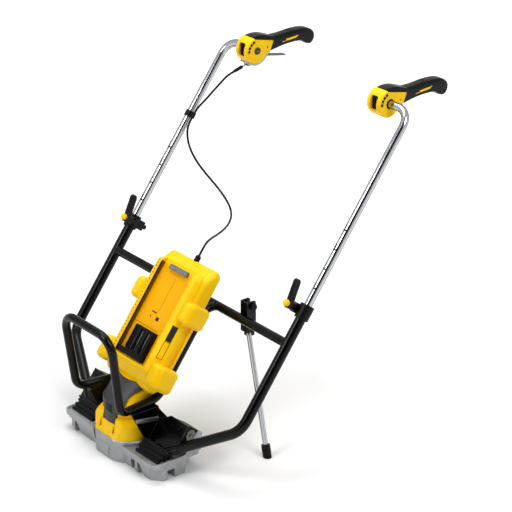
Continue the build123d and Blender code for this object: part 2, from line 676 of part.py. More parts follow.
def gusset():
    """Upright plate under the cradle's bottom run, with a flat bar along its top edge."""
    edge = SADDLE_PLATE
    corner = lean(0, REAR_PLATE_TOP - SADDLE_DEPTH, REAR_PLATE_H)
    plate_low = (SADDLE * Pos(0, SADDLE_DEPTH, 0)).position
    outline = [(GUSSET_FRONT, bar_top(GUSSET_FRONT) - edge), (SADDLE_Y, SADDLE_Z - edge),
               (plate_low.Y, plate_low.Z), (corner.Y + SADDLE_DEPTH, corner.Z),
               (GUSSET_REAR, bar_top(GUSSET_REAR) - edge)]
    plate = prism(outline, GUSSET_X, GUSSET_X + SADDLE_PLATE)
    bar = [(GUSSET_FRONT, bar_top(GUSSET_FRONT)), (GUSSET_REAR, bar_top(GUSSET_REAR)),
           (GUSSET_REAR, bar_top(GUSSET_REAR) - edge), (GUSSET_FRONT, bar_top(GUSSET_FRONT) - edge)]
    outer = GUSSET_X + SADDLE_PLATE
    return plate + prism(bar, outer - GUSSET_BAR_WIDTH, outer)


def front_isolator():
    """Wedge of rubber with ridges, from the base flange to the saddle's front plate."""
    length = ISOLATOR_RIDGES * ISOLATOR_PITCH
    groove = ISOLATOR_GROOVE
    rubber = block(ISOLATOR_INNER + groove, ISOLATOR_OUTER - groove, groove, SADDLE_DEPTH, -length, 0)
    for i in range(ISOLATOR_RIDGES):
        top = -i * ISOLATOR_PITCH
        ridge = block(ISOLATOR_INNER, ISOLATOR_OUTER, 0, SADDLE_DEPTH, top - ISOLATOR_RIDGE, top)
        rubber += fillet(ridge.edges(), RIDGE_ROUND)
    rubber = SADDLE * Pos(0, 0, -SADDLE_PLATE) * rubber
    return rubber - block(0, TUBE_X, -TUBE_X, TUBE_X, -TUBE_X, FLANGE_TOP)


def rear_isolator():
    low = REAR_PLATE_TOP - REAR_ISOLATOR_HEIGHT
    groove = ISOLATOR_GROOVE
    rubber = block(REAR_ISOLATOR_INNER + groove, REAR_ISOLATOR_OUTER - groove, low + groove,
                   REAR_PLATE_TOP - groove, REAR_LUG_H, REAR_PLATE_H)
    pitch = REAR_ISOLATOR_LENGTH / REAR_ISOLATOR_RIBS
    for i in range(REAR_ISOLATOR_RIBS):
        start = REAR_LUG_H + (i + 0.5) * pitch - REAR_RIB / 2
        rib = block(REAR_ISOLATOR_INNER, REAR_ISOLATOR_OUTER, low, REAR_PLATE_TOP, start, start + REAR_RIB)
        rubber += fillet(rib.edges(), REAR_RIB_ROUND)
    return LEAN * rubber


def isolator_bolts():
    """Hexagon heads on the front and rear plates of both saddles."""
    heads = []
    for x in (ISOLATOR_INNER + 2 * NUT_D, ISOLATOR_INNER + 5 * NUT_D):
        heads.append(SADDLE * Pos(x, NUT_INSET, 0) * hexagon(NUT_D, NUT_H))
    middle_s = REAR_PLATE_TOP - REAR_ISOLATOR_HEIGHT / 2
    for x in (REAR_ISOLATOR_INNER + 2 * NUT_D, REAR_ISOLATOR_OUTER - 2 * NUT_D):
        heads.append(LEAN * Pos(x, middle_s, REAR_PLATE_H + SADDLE_PLATE) * hexagon(NUT_D, NUT_H))
    return heads + [mirrored(head) for head in heads]


# Battery housing
def housing_solid():
    """Outer form of the battery housing with its rear cover."""
    shell = [(HOUSING_BOTTOM + BOTTOM_SLANT, HOUSING_BACK), (HOUSING_BOTTOM, BOTTOM_LOW_H),
             (CHIN_LOW_S, SHELL_CHIN_H), (SHELL_CHIN_S, BAY_FLOOR), (HOOD_S, BAY_FLOOR),
             (HOUSING_TOP, HOOD_LOW_H), (HOUSING_TOP - TOP_SLANT, HOUSING_BACK)]
    radii = [HOUSING_EDGE] * len(shell)
    radii[shell.index((HOOD_S, BAY_FLOOR))] = HOOD_CREST
    return LEAN * (pillow(shell, radii, HOUSING_HALF) + tray_solid())


def tray_solid():
    """Rails and chin, which stand on the shell around the battery bay."""
    chin = Vector(CHIN_S - CHIN_LOW_S, HOUSING_FRONT - CHIN_LOW_H).normalized()
    low_s = CHIN_LOW_S + TRAY_DEPTH * chin.Y
    low_h = CHIN_LOW_H - TRAY_DEPTH * chin.X
    tray = [(low_s, low_h), (CHIN_LOW_S, CHIN_LOW_H), (CHIN_S, HOUSING_FRONT), (RAIL_TOP, HOUSING_FRONT),
            (RAIL_TOP, low_h)]
    return pillow(tray, [TRAY_EDGE] * len(tray), RAIL_OUTER)


def pillow(outline, radii, half_width):
    """Form with a rounded side outline in s and h, its ends rounded just less than its corners."""
    face = make_face(FilletPolyline(*outline, radius=radii, close=True))
    form = extrude(Plane.YZ * face, amount=2 * half_width, dir=(1, 0, 0))
    form = Pos(-half_width, 0, 0) * form
    return fillet(form.faces().filter_by(Axis.X).edges(), min(radii) - PILLOW_STEP)


def post_places():
    return [(x, s) for x in (-POST_X, POST_X) for s in POST_S]


def battery_housing():
    inner = HOUSING_HALF - HOUSING_WALL - SIDE_CHANNEL_DEPTH
    low = HOUSING_BOTTOM + HOUSING_EDGE
    high = HOOD_S
    cuts = block(-inner, inner, low, high, COVER_SPLIT, BAY_FLOOR - 2 * HOUSING_WALL)
    for x, s in post_places():
        cuts -= Pos(x, s, 0) * disc(POST_D, COVER_SPLIT, BAY_FLOOR)
        cuts += Pos(x, s, 0) * disc(SCREW_D, COVER_SPLIT, HOUSING_BACK + SCREW_HEAD_H + SCREW_GRIP)
    cuts += block(-BAY_WIDTH / 2, BAY_WIDTH / 2, BAY_BOTTOM, HOUSING_TOP, BAY_FLOOR, 2 * HOUSING_FRONT)
    cuts += block(-HOUSING_WIDTH, HOUSING_WIDTH, -HOUSING_TOP, 2 * HOUSING_TOP, -HOUSING_FRONT, COVER_SPLIT)
    bottom = BUMPERS["lower"][1]
    top = BUMPERS["upper"][0]
    for side in (-1, 1):
        across = sorted((side * HOUSING_WIDTH, side * (HOUSING_HALF - SIDE_CHANNEL_DEPTH)))
        groove = block(*across, bottom, top, SIDE_CHANNEL_LOW, SIDE_CHANNEL_HIGH)
        cuts += fillet(groove.edges().filter_by(Axis.Y), HOUSING_WALL)
    return housing_solid() - LEAN * cuts


def rear_cover():
    reach = 2 * HOUSING_TOP
    front = block(-HOUSING_WIDTH, HOUSING_WIDTH, -reach, reach, COVER_SPLIT, 2 * HOUSING_FRONT)
    for x, s in post_places():
        front += Pos(x, s, 0) * disc(SCREW_D, HOUSING_BACK, COVER_SPLIT)
        front += Pos(x, s, 0) * disc(SCREW_HEAD_D + 2 * SEAT_GAP, 0, HOUSING_BACK + SCREW_HEAD_H)
    return housing_solid() - LEAN * front


def bumper(low_s, high_s, proud, low_h):
    """Rounded corner guard that fits over the housing's side."""
    inner = HOUSING_HALF - BUMPER_LAP
    outer = HOUSING_HALF + proud
    section = [(inner, low_h), (outer, low_h), (outer, BUMPER_HIGH), (inner, BUMPER_HIGH)]
    radii = [BUMPER_ROUND, BUMPER_ROUND, BUMPER_SHOULDER, BUMPER_ROUND]
    face = make_face(FilletPolyline(*section, radius=radii, close=True))
    guard = Pos(0, low_s, 0) * extrude(Plane.XZ * face, amount=high_s - low_s, dir=(0, 1, 0))
    guard = fillet(guard.faces().filter_by(Axis.Y).edges(), BUMPER_ROUND - PILLOW_STEP)
    return LEAN * guard - housing_solid()


def terminal_block():
    half = TERMINAL_WIDTH / 2
    top = BAY_FLOOR + TERMINAL_HEIGHT
    body = block(-half, half, TERMINAL_BOTTOM, TERMINAL_TOP, BAY_FLOOR, top)
    body += block(TERMINAL_BAR_X, half, TERMINAL_BOTTOM, TERMINAL_BAR_TOP, BAY_FLOOR, top)
    for x in TERMINAL_SLOTS:
        body -= contact_space(x)
    return LEAN * body


def contact_space(x):
    start = TERMINAL_BAR_TOP + CONTACT_THICK
    top = BAY_FLOOR + TERMINAL_HEIGHT
    wide = 2 * CONTACT_THICK
    return block(x - wide, x + wide, start, start + CONTACT_LENGTH, top - CONTACT_HEIGHT, top)


def terminal_contacts():
    """Upright blades in the terminal block's slots."""
    start = TERMINAL_BAR_TOP + 2 * CONTACT_THICK
    low = BAY_FLOOR + TERMINAL_HEIGHT - CONTACT_HEIGHT
    half = CONTACT_THICK / 2
    length = CONTACT_LENGTH - 2 * CONTACT_THICK
    return [LEAN * block(x - half, x + half, start, start + length, low, low + CONTACT_HEIGHT - CONTACT_SUNK)
            for x in TERMINAL_SLOTS]


def battery_catch():
    half = CATCH_WIDTH / 2
    bar = block(-half, half, CATCH_BOTTOM, CATCH_TOP, BAY_FLOOR, BAY_FLOOR + CATCH_HEIGHT)
    return LEAN * fillet(bar.edges().filter_by(Axis.Z), CATCH_CORNER)


def controller_board():
    half = BOARD_WIDTH / 2
    tray = block(-half, half, BOARD_BOTTOM, BOARD_TOP, COVER_SPLIT, COVER_SPLIT + BOARD_HEIGHT)
    for s in (BOARD_BOTTOM + BOARD_HEIGHT, BOARD_TOP - BOARD_HEIGHT):
        can_top = COVER_SPLIT + BOARD_HEIGHT + CAN_HEIGHT
        tray += Pos(half - BOARD_HEIGHT, s, 0) * disc(BOARD_HEIGHT, COVER_SPLIT, can_top)
    return LEAN * tray


def cable_gland():
    ends = [(0, HOUSING_TOP + side * GLAND_LENGTH, GLAND_H) for side in (-1, 1)]
    neck = rod(*ends, GLAND_D)
    return LEAN * chamfer(neck.edges().sort_by(Axis.Y)[-1], GLAND_EDGE) - housing_solid()


# Clamps and handlebars
def clamp_collar():
    low = CLAMP_S - CLAMP_HEIGHT / 2
    high = CLAMP_S + CLAMP_HEIGHT / 2
    outer = SIDE_TUBE_OD + 2 * CLAMP_WALL
    ear_x = BOLT_X - CLAMP_EAR_END
    ear_low = CLAMP_S - CLAMP_EAR_HEIGHT / 2
    ear_high = CLAMP_S + CLAMP_EAR_HEIGHT / 2
    body = rod((TUBE_X, low, 0), (TUBE_X, high, 0), outer)
    body += block(ear_x, TUBE_X, ear_low, ear_high, -CLAMP_EAR, CLAMP_EAR)
    body -= rod((TUBE_X, low, 0), (TUBE_X, high, 0), SIDE_TUBE_OD)
    body -= block(ear_x, TUBE_X, low, high, -CLAMP_SPLIT / 2, CLAMP_SPLIT / 2)
    body -= rod((BOLT_X, CLAMP_S, -CLAMP_EAR), (BOLT_X, CLAMP_S, CLAMP_EAR), CLAMP_BOLT_D)
    return LEAN * body


def clamp_bolt():
    bolt = on_bolt(CLAMP_BOLT_D, -CLAMP_TAIL, CLAMP_BUTTON_SEAT - SIDE_GAP)
    nut = Pos(BOLT_X, CLAMP_S, -CLAMP_TAIL) * hexagon(2 * CLAMP_BOLT_D, CLAMP_TAIL - CLAMP_EAR)
    return LEAN * (bolt + nut)


def clamp_lever():
    """Hand lever on the clamp bolt, with a pocket for its push button."""
    start = CLAMP_EAR + SIDE_GAP
    reach = CLAMP_S + LEVER_LENGTH
    tip = LEVER_TIP_D / 2
    outline = [(CLAMP_S, LEVER_HUB_TOP - LEVER_ROOT), (CLAMP_S, LEVER_HUB_TOP), (reach, LEVER_TIP_H + tip),
               (reach + tip, LEVER_TIP_H), (reach, LEVER_TIP_H - tip)]
    arm = prism(outline, BOLT_X - LEVER_WIDTH / 2, BOLT_X + LEVER_WIDTH / 2)
    arm = fillet(arm.edges().filter_by(Axis.X).sort_by(Axis.Y)[-3:], LEVER_TIP_ROUND)
    lever = on_bolt(LEVER_HUB_D, start, LEVER_HUB_TOP) + arm
    lever -= on_bolt(CLAMP_BUTTON_D + 2 * RUN_GAP, CLAMP_BUTTON_SEAT, CLAMP_BUTTON_TOP + LEVER_TIP_D)
    return LEAN * (lever - on_bolt(CLAMP_BOLT_D + 2 * RUN_GAP, 0, LEVER_TIP_H))


def on_bolt(diameter, low_h, high_h):
    """Round bar on the clamp bolt's axis, in the lean frame."""
    return rod((BOLT_X, CLAMP_S, low_h), (BOLT_X, CLAMP_S, high_h), diameter)


def clamp_button():
    low = CLAMP_BUTTON_SEAT + CLAMP_BUTTON_TRAVEL + SIDE_GAP
    cap = on_bolt(CLAMP_BUTTON_D, low, CLAMP_BUTTON_TOP)
    return LEAN * chamfer(cap.edges().sort_by(Axis.Z)[-1], CLAMP_BUTTON_EDGE)


def guide_bush():
    bore = BAR_OD + 2 * RUN_GAP
    ends = [(TUBE_X, SIDE_TUBE_TOP - BUSH_LENGTH, 0), (TUBE_X, SIDE_TUBE_TOP, 0)]
    return LEAN * (rod(*ends, SIDE_TUBE_OD - 2 * SIDE_TUBE_WALL) - rod(*ends, bore))


def handlebar_tube():
    corner = lean(TUBE_X, BAR_CORNER, 0)
    stub = Vector(STUB_END, STUB.Y, STUB.Z)
    path = FilletPolyline(lean(TUBE_X, BAR_BOTTOM, 0), corner, stub, radius=BAR_BEND_RADIUS)
    return swept(path, BAR_OD, BAR_WALL)


def cable_clip():
    """Ring on the left handlebar tube with an eye for the control cable."""
    low, high = CLIP_BOTTOM, CLIP_TOP
    ring = rod((-TUBE_X, low, 0), (-TUBE_X, high, 0), BAR_OD + 2 * CLIP_WALL)
    eye = rod((-CLIP_X, low, 0), (-CLIP_X, high, 0), CABLE_D + 2 * CLIP_WALL)
    bores = rod((-TUBE_X, low, 0), (-TUBE_X, high, 0), BAR_OD)
    bores += rod((-CLIP_X, low, 0), (-CLIP_X, high, 0), CABLE_D)
    return LEAN * (ring + eye - bores)


# Grips
def handle_outline():
    """Overmould behind the neck, seen from the side, in y and z from the stub axis."""
    front = [Line(NECK_REAR_BOTTOM, NECK_REAR_TOP), Line(NECK_REAR_TOP, SLEEVE_ROUND[0])]
    return make_face(front + [Spline(*SLEEVE_ROUND)])


def saddle_outline():
    """Tongue of the overmould that lies over the hub."""
    tip = [Line(NECK_REAR_TOP, SADDLE_TIP), Line(SADDLE_TIP, SADDLE_TOP[0])]
    return make_face([Spline(*SADDLE_TOP), Line(SADDLE_TOP[-1], NECK_REAR_TOP)] + tip)


def at_stub(face, width):
    """Side outline about the stub axis, as a solid in the middle of the hub."""
    solid = extrude(Plane.YZ * face, amount=width, dir=(1, 0, 0))
    return Pos(HUB_MIDDLE - width / 2, STUB.Y, STUB.Z) * solid


def across_stub(diameter, inner, outer):
    return rod((inner, STUB.Y, STUB.Z), (outer, STUB.Y, STUB.Z), diameter)


def grip_sleeve():
    hub_width = HUB_OUTER - HUB_INNER
    handle = at_stub(handle_outline(), SLEEVE_SHARE * hub_width)
    long_edges = handle.faces().filter_by(Axis.X).edges().filter_by(GeomType.BSPLINE)
    return fillet(long_edges, SLEEVE_EDGE) + at_stub(saddle_outline(), SADDLE_SHARE * hub_width)


def grip_shell():
    """Hub and neck of the grip, with its pivot bore, button pocket, front window and slots."""
    hub_width = HUB_OUTER - HUB_INNER
    hub = across_stub(2 * HUB_RADIUS, HUB_INNER, HUB_OUTER)
    hub = fillet(hub.edges(), SHELL_EDGE)
    under_hub = (0, -NECK_UNDER)
    neck = make_face(Polyline(SADDLE_TIP, NECK_REAR_TOP, NECK_REAR_BOTTOM, under_hub, close=True))
    shell = hub + at_stub(neck, SADDLE_SHARE * hub_width)
    for outline in (handle_outline(), saddle_outline()):
        shell -= at_stub(outline, hub_width)
    window = Box(WINDOW_WIDTH, 2 * WINDOW_DEPTH, WINDOW_HEIGHT)
    window = fillet(window.edges().filter_by(Axis.Y), WINDOW_CORNER)
    shell -= Pos(HUB_MIDDLE, STUB.Y - HUB_RADIUS, STUB.Z + WINDOW_RISE) * window
    slot = Box(2 * SLOT_DEPTH, SLOT_WIDTH, SLOT_LENGTH)
    for x in (HUB_INNER, HUB_OUTER):
        for angle in SLOT_ANGLES:
            y = STUB.Y + SLOT_RADIUS * cos(radians(angle))
            z = STUB.Z + SLOT_RADIUS * sin(radians(angle))
            shell -= Pos(x, y, z) * Rot(angle, 0, 0) * slot
    shell -= across_stub(BAR_OD + 2 * RUN_GAP, STUB_END - SIDE_GAP, HUB_OUTER)
    return shell - across_stub(GRIP_BUTTON_D + 2 * RUN_GAP, HUB_INNER, STUB_END - SIDE_GAP)


def grip_button():
    inner = HUB_INNER - GRIP_BUTTON_PROUD
    cap = across_stub(GRIP_BUTTON_D, inner, STUB_END - GRIP_BUTTON_TRAVEL - 2 * SIDE_GAP)
    return fillet(cap.edges().sort_by(Axis.X)[0], GRIP_BUTTON_EDGE)


def trigger_rod(y, z, half, diameter):
    """Round bar across the left hub's middle, about the stub axis."""
    return rod((-HUB_MIDDLE - half, y, z), (-HUB_MIDDLE + half, y, z), diameter)


def trigger_block(half, y0, y1, z0, z1):
    return block(-HUB_MIDDLE - half, -HUB_MIDDLE + half, y0, y1, z0, z1)


def trigger_bracket():
    """Channel under the left hub that holds the trigger's pin."""
    slot = TRIGGER_WIDTH / 2 + SIDE_GAP
    half = slot + TRIGGER_CHEEK
    rear = TRIGGER_PIVOT[0] + TRIGGER_EYE_D
    body = trigger_block(half, TRIGGER_FRONT, rear, TRIGGER_BOTTOM, TRIGGER_TOP)
    body -= trigger_rod(0, 0, half, 2 * HUB_RADIUS)
    body -= trigger_block(slot, TRIGGER_PIVOT[0] - TRIGGER_EYE_D, rear, TRIGGER_BOTTOM, 0)
    return Pos(0, STUB.Y, STUB.Z) * (body - trigger_rod(*TRIGGER_PIVOT, half, TRIGGER_PIN_D))


def trigger_pin():
    half = TRIGGER_WIDTH / 2 + SIDE_GAP + TRIGGER_CHEEK
    return Pos(0, STUB.Y, STUB.Z) * trigger_rod(*TRIGGER_PIVOT, half, TRIGGER_PIN_D)


def trigger_lever():
    half = TRIGGER_WIDTH / 2
    blade = offset(Polyline(TRIGGER_PIVOT, TRIGGER_KNEE, TRIGGER_END), amount=TRIGGER_THICK / 2)
    blade = extrude(Plane.YZ * make_face(blade.edges()), amount=TRIGGER_WIDTH, dir=(1, 0, 0))
    lever = Pos(-HUB_MIDDLE - half, 0, 0) * blade + trigger_rod(*TRIGGER_PIVOT, half, TRIGGER_EYE_D)
    lever -= trigger_rod(*TRIGGER_PIVOT, half, TRIGGER_PIN_D + 2 * RUN_GAP)
    return Pos(0, STUB.Y, STUB.Z) * lever


def boot_start():
    return Vector(-HUB_MIDDLE, STUB.Y + TRIGGER_FRONT, STUB.Z + (TRIGGER_BOTTOM - HUB_RADIUS) / 2)


def boot_end():
    return Vector(-HUB_MIDDLE, STUB.Y, STUB.Z) + Vector(*BOOT_REACH)


def cable_boot():
    """Tapered boot from the trigger bracket towards the cable."""
    start = boot_start()
    along = boot_end() - start
    cone = Cone(BOOT_D / 2, CABLE_D / 2 + BOOT_TIP_WALL, along.length, align=UPRIGHT)
    behind = block(-TUBE_X, 0, STUB.Y + TRIGGER_FRONT, STUB.Y + TUBE_X, 0, 2 * STUB.Z)
    return Plane(origin=start, z_dir=along).location * cone - behind


# Control cable
def cable(points):
    """Straight runs joined by arcs as large as the runs allow, whose radii are printed."""
    points = [Vector(p) for p in points]
    radii = []
    for before, here, after in zip(points, points[1:], points[2:]):
        turn = radians((here - before).get_angle(after - here))
        shorter = min((here - before).length, (after - here).length)
        radii.append(ARC_SHARE * shorter / tan(turn / 2))
    print("cable arcs", [round(radius) for radius in radii])
    return swept(FilletPolyline(*points, radius=radii), CABLE_D)


def upper_cable():
    """From the boot through the clip's eye."""
    boot_lead = boot_end() + (boot_end() - boot_start()).normalized() * CABLE_LEAD
    clip_end = [lean(-CLIP_X, CLIP_TOP + CLIP_LEAD, 0), lean(-CLIP_X, CLIP_BOTTOM, 0)]
    return cable([boot_end(), boot_lead] + UPPER_CABLE_POINTS + clip_end)


def lower_cable():
    """From the clip's eye to the gland on the housing."""
    clip_end = [lean(-CLIP_X, CLIP_BOTTOM, 0), lean(-CLIP_X, CLIP_BOTTOM - CABLE_LEAD, 0)]
    gland_top = HOUSING_TOP + GLAND_LENGTH
    gland_end = [lean(0, gland_top + CABLE_LEAD, GLAND_H), lean(0, gland_top, GLAND_H)]
    return cable(clip_end + LOWER_CABLE_POINTS + gland_end)


# Kickstand
def stand_pivot(x):
    return Vector(x, STAND_PIVOT_Y, STAND_PIVOT_Z)


def stand_foot():
    return Vector(STAND_FOOT[0], STAND_FOOT[1], 0)


def stand_rod_top():
    return Vector(STAND_X, STAND_PIVOT_Y - STAND_ROD_AHEAD, STAND_HEAD_BOTTOM + STAND_SOCKET)


def kickstand_bracket():
    """Channel behind the cross tube whose cheeks hold the stand's pivot bolt."""
    axis = lean(0, CROSS_TUBE_S, 0)
    web_front = axis.Y + CROSS_TUBE_OD / 2
    half = STAND_CHANNEL / 2
    top = STAND_PIVOT_Z + STAND_CHEEK_TOP
    back = web_front + STAND_CHEEK_DEPTH
    body = block(STAND_X - half, STAND_X + half, web_front, back, STAND_CHEEK_BOTTOM, top)
    inner = half - STAND_PLATE
    body -= block(STAND_X - inner, STAND_X + inner, web_front + STAND_PLATE, back, STAND_CHEEK_BOTTOM, top)
    body = fillet(body.edges().filter_by(Axis.X).sort_by(Axis.Y)[-4:], STAND_CHEEK_ROUND)
    return body - rod(stand_pivot(STAND_X - half), stand_pivot(STAND_X + half), STAND_BOLT_D)


def kickstand_bolt():
    half = STAND_CHANNEL / 2
    bolt = rod(stand_pivot(STAND_X - half), stand_pivot(STAND_X + half), STAND_BOLT_D)
    bolt += rod(stand_pivot(STAND_X + half), stand_pivot(STAND_X + half + STAND_KNOB_H), STAND_KNOB_D)
    return bolt + rod(stand_pivot(STAND_X - half), stand_pivot(STAND_X - half - NUT_H), STAND_NUT_D)


def kickstand_head():
    half = STAND_CHANNEL / 2 - STAND_PLATE - SIDE_GAP
    eye = rod(stand_pivot(STAND_X - half), stand_pivot(STAND_X + half), STAND_HEAD_D)
    front = STAND_PIVOT_Y - STAND_HEAD_D / 2
    arm = block(STAND_X - half, STAND_X + half, front, front + STAND_HEAD_D, STAND_HEAD_BOTTOM, STAND_PIVOT_Z)
    bore = rod(stand_pivot(STAND_X - half), stand_pivot(STAND_X + half), STAND_BOLT_D + 2 * RUN_GAP)
    return eye + arm - bore - rod(stand_rod_top(), stand_foot(), STAND_ROD_D)


def kickstand_leg():
    """Splayed rod, which ends inside the rubber foot."""
    along = (stand_rod_top() - stand_foot()).normalized()
    return rod(stand_rod_top(), stand_foot() + along * STAND_ROD_IN_FOOT, STAND_ROD_D)


def kickstand_foot():
    along = (stand_rod_top() - stand_foot()).normalized()
    foot = rod(stand_foot() - along * STAND_FOOT_D, stand_foot() + along * STAND_FOOT_H, STAND_FOOT_D)
    below = Pos(stand_foot()) * block(-TUBE_X, TUBE_X, -TUBE_X, TUBE_X, -TUBE_X, 0)
    return foot - below - kickstand_leg()


# Assembly
nodes["base_casting"] = base_casting()
nodes["exciter_cover"] = exciter_cover()
nodes["motor_housing"] = motor_housing()
nodes["motor_shroud"] = motor_shroud()
nodes["motor_stator"] = motor_stator()
nodes["motor_rotor"] = motor_rotor()
nodes["eccentric_weight"] = eccentric_weight()
nodes["exciter_bearings"] = exciter_bearings()
nodes["casing_screws"] = casing_screws()
nodes["isolator_bolts"] = isolator_bolts()
nodes["cross_tube"] = cross_tube()
nodes["cradle_tube"] = cradle_tube()
nodes["battery_housing"] = battery_housing()
nodes["rear_cover"] = rear_cover()
nodes["terminal_block"] = terminal_block()
nodes["terminal_contacts"] = terminal_contacts()
nodes["battery_catch"] = battery_catch()
nodes["controller_board"] = controller_board()
nodes["cable_gland"] = cable_gland()
nodes["clamp_bolts"] = [clamp_bolt(), mirrored(clamp_bolt())]
nodes["guide_bushes"] = [guide_bush(), mirrored(guide_bush())]
nodes["cable_clip"] = cable_clip()
nodes["trigger_bracket"] = trigger_bracket()
nodes["trigger_pin"] = trigger_pin()
nodes["trigger_lever"] = trigger_lever()
nodes["cable_boot"] = cable_boot()
nodes["upper_cable"] = upper_cable()
nodes["lower_cable"] = lower_cable()
nodes["kickstand_bracket"] = kickstand_bracket()
nodes["kickstand_bolt"] = kickstand_bolt()
nodes["kickstand_head"] = kickstand_head()
nodes["kickstand_leg"] = kickstand_leg()
nodes["kickstand_foot"] = kickstand_foot()
pair("side_tube", side_tube())
pair("saddle_bracket", saddle_bracket())
pair("front_isolator", front_isolator())
pair("rear_isolator", rear_isolator())
for level, sizes in BUMPERS.items():
    pair(level + "_bumper", bumper(*sizes))
pair("clamp_collar", clamp_collar())
pair("clamp_lever", clamp_lever())
pair("clamp_button", clamp_button())
pair("handlebar_tube", handlebar_tube())
pair("grip_shell", grip_shell())
pair("grip_sleeve", grip_sleeve())
pair("grip_button", grip_button())

for name, piece in nodes.items():
    solids = piece if isinstance(piece, list) else piece.solids()
    export_step(Compound(children=list(solids)), f"parts/{name}.step")
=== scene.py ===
import json
import math

import bmesh
import bpy
from mathutils import Matrix, Vector


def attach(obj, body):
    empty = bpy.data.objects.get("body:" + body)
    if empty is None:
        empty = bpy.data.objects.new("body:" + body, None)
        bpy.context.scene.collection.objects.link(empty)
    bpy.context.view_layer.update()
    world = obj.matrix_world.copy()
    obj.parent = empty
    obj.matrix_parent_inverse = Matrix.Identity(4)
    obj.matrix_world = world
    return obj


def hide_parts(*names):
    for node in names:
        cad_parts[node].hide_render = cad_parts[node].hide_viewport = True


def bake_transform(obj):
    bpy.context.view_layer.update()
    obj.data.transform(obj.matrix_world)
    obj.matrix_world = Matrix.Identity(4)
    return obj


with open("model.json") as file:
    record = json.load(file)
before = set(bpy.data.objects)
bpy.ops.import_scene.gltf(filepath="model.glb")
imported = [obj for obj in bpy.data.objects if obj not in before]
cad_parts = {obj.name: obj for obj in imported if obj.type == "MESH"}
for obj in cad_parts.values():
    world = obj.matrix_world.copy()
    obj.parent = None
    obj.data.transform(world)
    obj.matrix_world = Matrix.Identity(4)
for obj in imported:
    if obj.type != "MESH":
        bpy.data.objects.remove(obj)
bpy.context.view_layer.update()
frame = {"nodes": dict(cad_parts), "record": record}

# Looks of the vibrating screed. Sizes are in millimetres where a comment says so, and in metres in
# the shared frame otherwise.
NODES = frame["nodes"]
MM = 0.001
SIDES = {"right": 1, "left": -1}

# The leaning tubes: up along them, and out in front of them
LEAN_ANGLE = math.radians(37.5)
LEAN_UP = Vector((0, math.sin(LEAN_ANGLE), math.cos(LEAN_ANGLE)))
LEAN_OUT = Vector((0, -math.cos(LEAN_ANGLE), math.sin(LEAN_ANGLE)))
LEAN_FOOT = Vector((0, 0.070, 0.157))


def lean(x, s, h):
    """Point from mm across, along and in front of the leaning tubes."""
    return LEAN_FOOT + MM * (Vector((x, 0, 0)) + s * LEAN_UP + h * LEAN_OUT)


def axes(origin, x_axis, y_axis):
    """Place whose x and y run along two square directions."""
    x_axis, y_axis = Vector(x_axis).normalized(), Vector(y_axis).normalized()
    turned = Matrix((x_axis, y_axis, x_axis.cross(y_axis))).transposed()
    return Matrix.Translation(Vector(origin)) @ turned.to_4x4()


def on_lean(x, s, h):
    """Place on the leaning frame, with y up the tubes and z out in front."""
    return axes(lean(x, s, h), (1, 0, 0), LEAN_UP)


STUB = lean(0, 825.5, 0)               # axis on which the grips pivot
TUBE_X = 330.0                         # mm from the middle to a leaning tube
HUB_MIDDLE = 240.5                     # mm from the middle to the middle of a grip's hub


# Materials
def linear(hex_colour):
    """Linear colour of an sRGB hex value."""
    channels = [int(hex_colour[i:i + 2], 16) / 255 for i in (1, 3, 5)]
    return [c / 12.92 if c <= 0.04045 else ((c + 0.055) / 1.055) ** 2.4 for c in channels] + [1.0]


def set_inputs(finish, node, inputs):
    """Sets a node's inputs to values, or links sockets to them."""
    for key, value in inputs.items():
        if isinstance(value, bpy.types.NodeSocket):
            finish.node_tree.links.new(value, node.inputs[key])
        else:
            node.inputs[key].default_value = value


def add(finish, kind, inputs=None, **settings):
    """Adds one node to a finish, with its settings and inputs."""
    made = finish.node_tree.nodes.new("ShaderNode" + kind)
    for key, value in settings.items():
        setattr(made, key, value)
    set_inputs(finish, made, inputs or {})
    return made


def new_finish(name):
    """Empty finish with its surface shader; returns both and the object's own coordinates."""
    finish = bpy.data.materials.new(name)
    finish.use_nodes = True
    finish.node_tree.nodes.clear()
    shader = add(finish, "BsdfPrincipled")
    add(finish, "OutputMaterial", {"Surface": shader.outputs["BSDF"]})
    return finish, shader, add(finish, "TexCoord").outputs["Object"]


def grain(size):
    """Texture scale for a pattern of that size in mm."""
    return 1 / (size * MM)


def noise(finish, here, size, detail=2.0, roughness=0.5):
    """Cloudy pattern of that size in mm, from 0 to 1."""
    return add(finish, "TexNoise", {"Vector": here, "Scale": grain(size), "Detail": detail,
                                    "Roughness": roughness}).outputs["Fac"]


def cells(finish, here, size):
    """Distance from the middles of soft cells of that size in mm."""
    return add(finish, "TexVoronoi", {"Vector": here, "Scale": grain(size)},
               feature="SMOOTH_F1").outputs["Distance"]


def graded(finish, value, low, high, start=0.0, end=1.0, **settings):
    """Level that goes from low to high as a value goes from start to end."""
    levels = {"Value": value, "From Min": start, "From Max": end, "To Min": low, "To Max": high}
    return add(finish, "MapRange", levels, **settings).outputs["Result"]


def mixed(finish, share, first, second):
    """Colour between two, each a hex value or a socket."""
    first, second = (linear(c) if isinstance(c, str) else c for c in (first, second))
    return add(finish, "Mix", {0: share, 6: first, 7: second}, data_type="RGBA").outputs[2]


def combined(finish, one, other, operation="MULTIPLY"):
    """Two values as one: their product, or what another operation makes of them."""
    return add(finish, "Math", {0: one, 1: other}, operation=operation).outputs[0]


def raised(finish, height, strength, depth, rounded=None):
    """Normal of a skin with relief of a depth in mm, over rounded edges where there are any."""
    relief = add(finish, "Bump", {"Height": height, "Strength": strength, "Distance": depth * MM})
    if rounded is not None:
        set_inputs(finish, relief, {"Normal": rounded})
    return relief.outputs["Normal"]


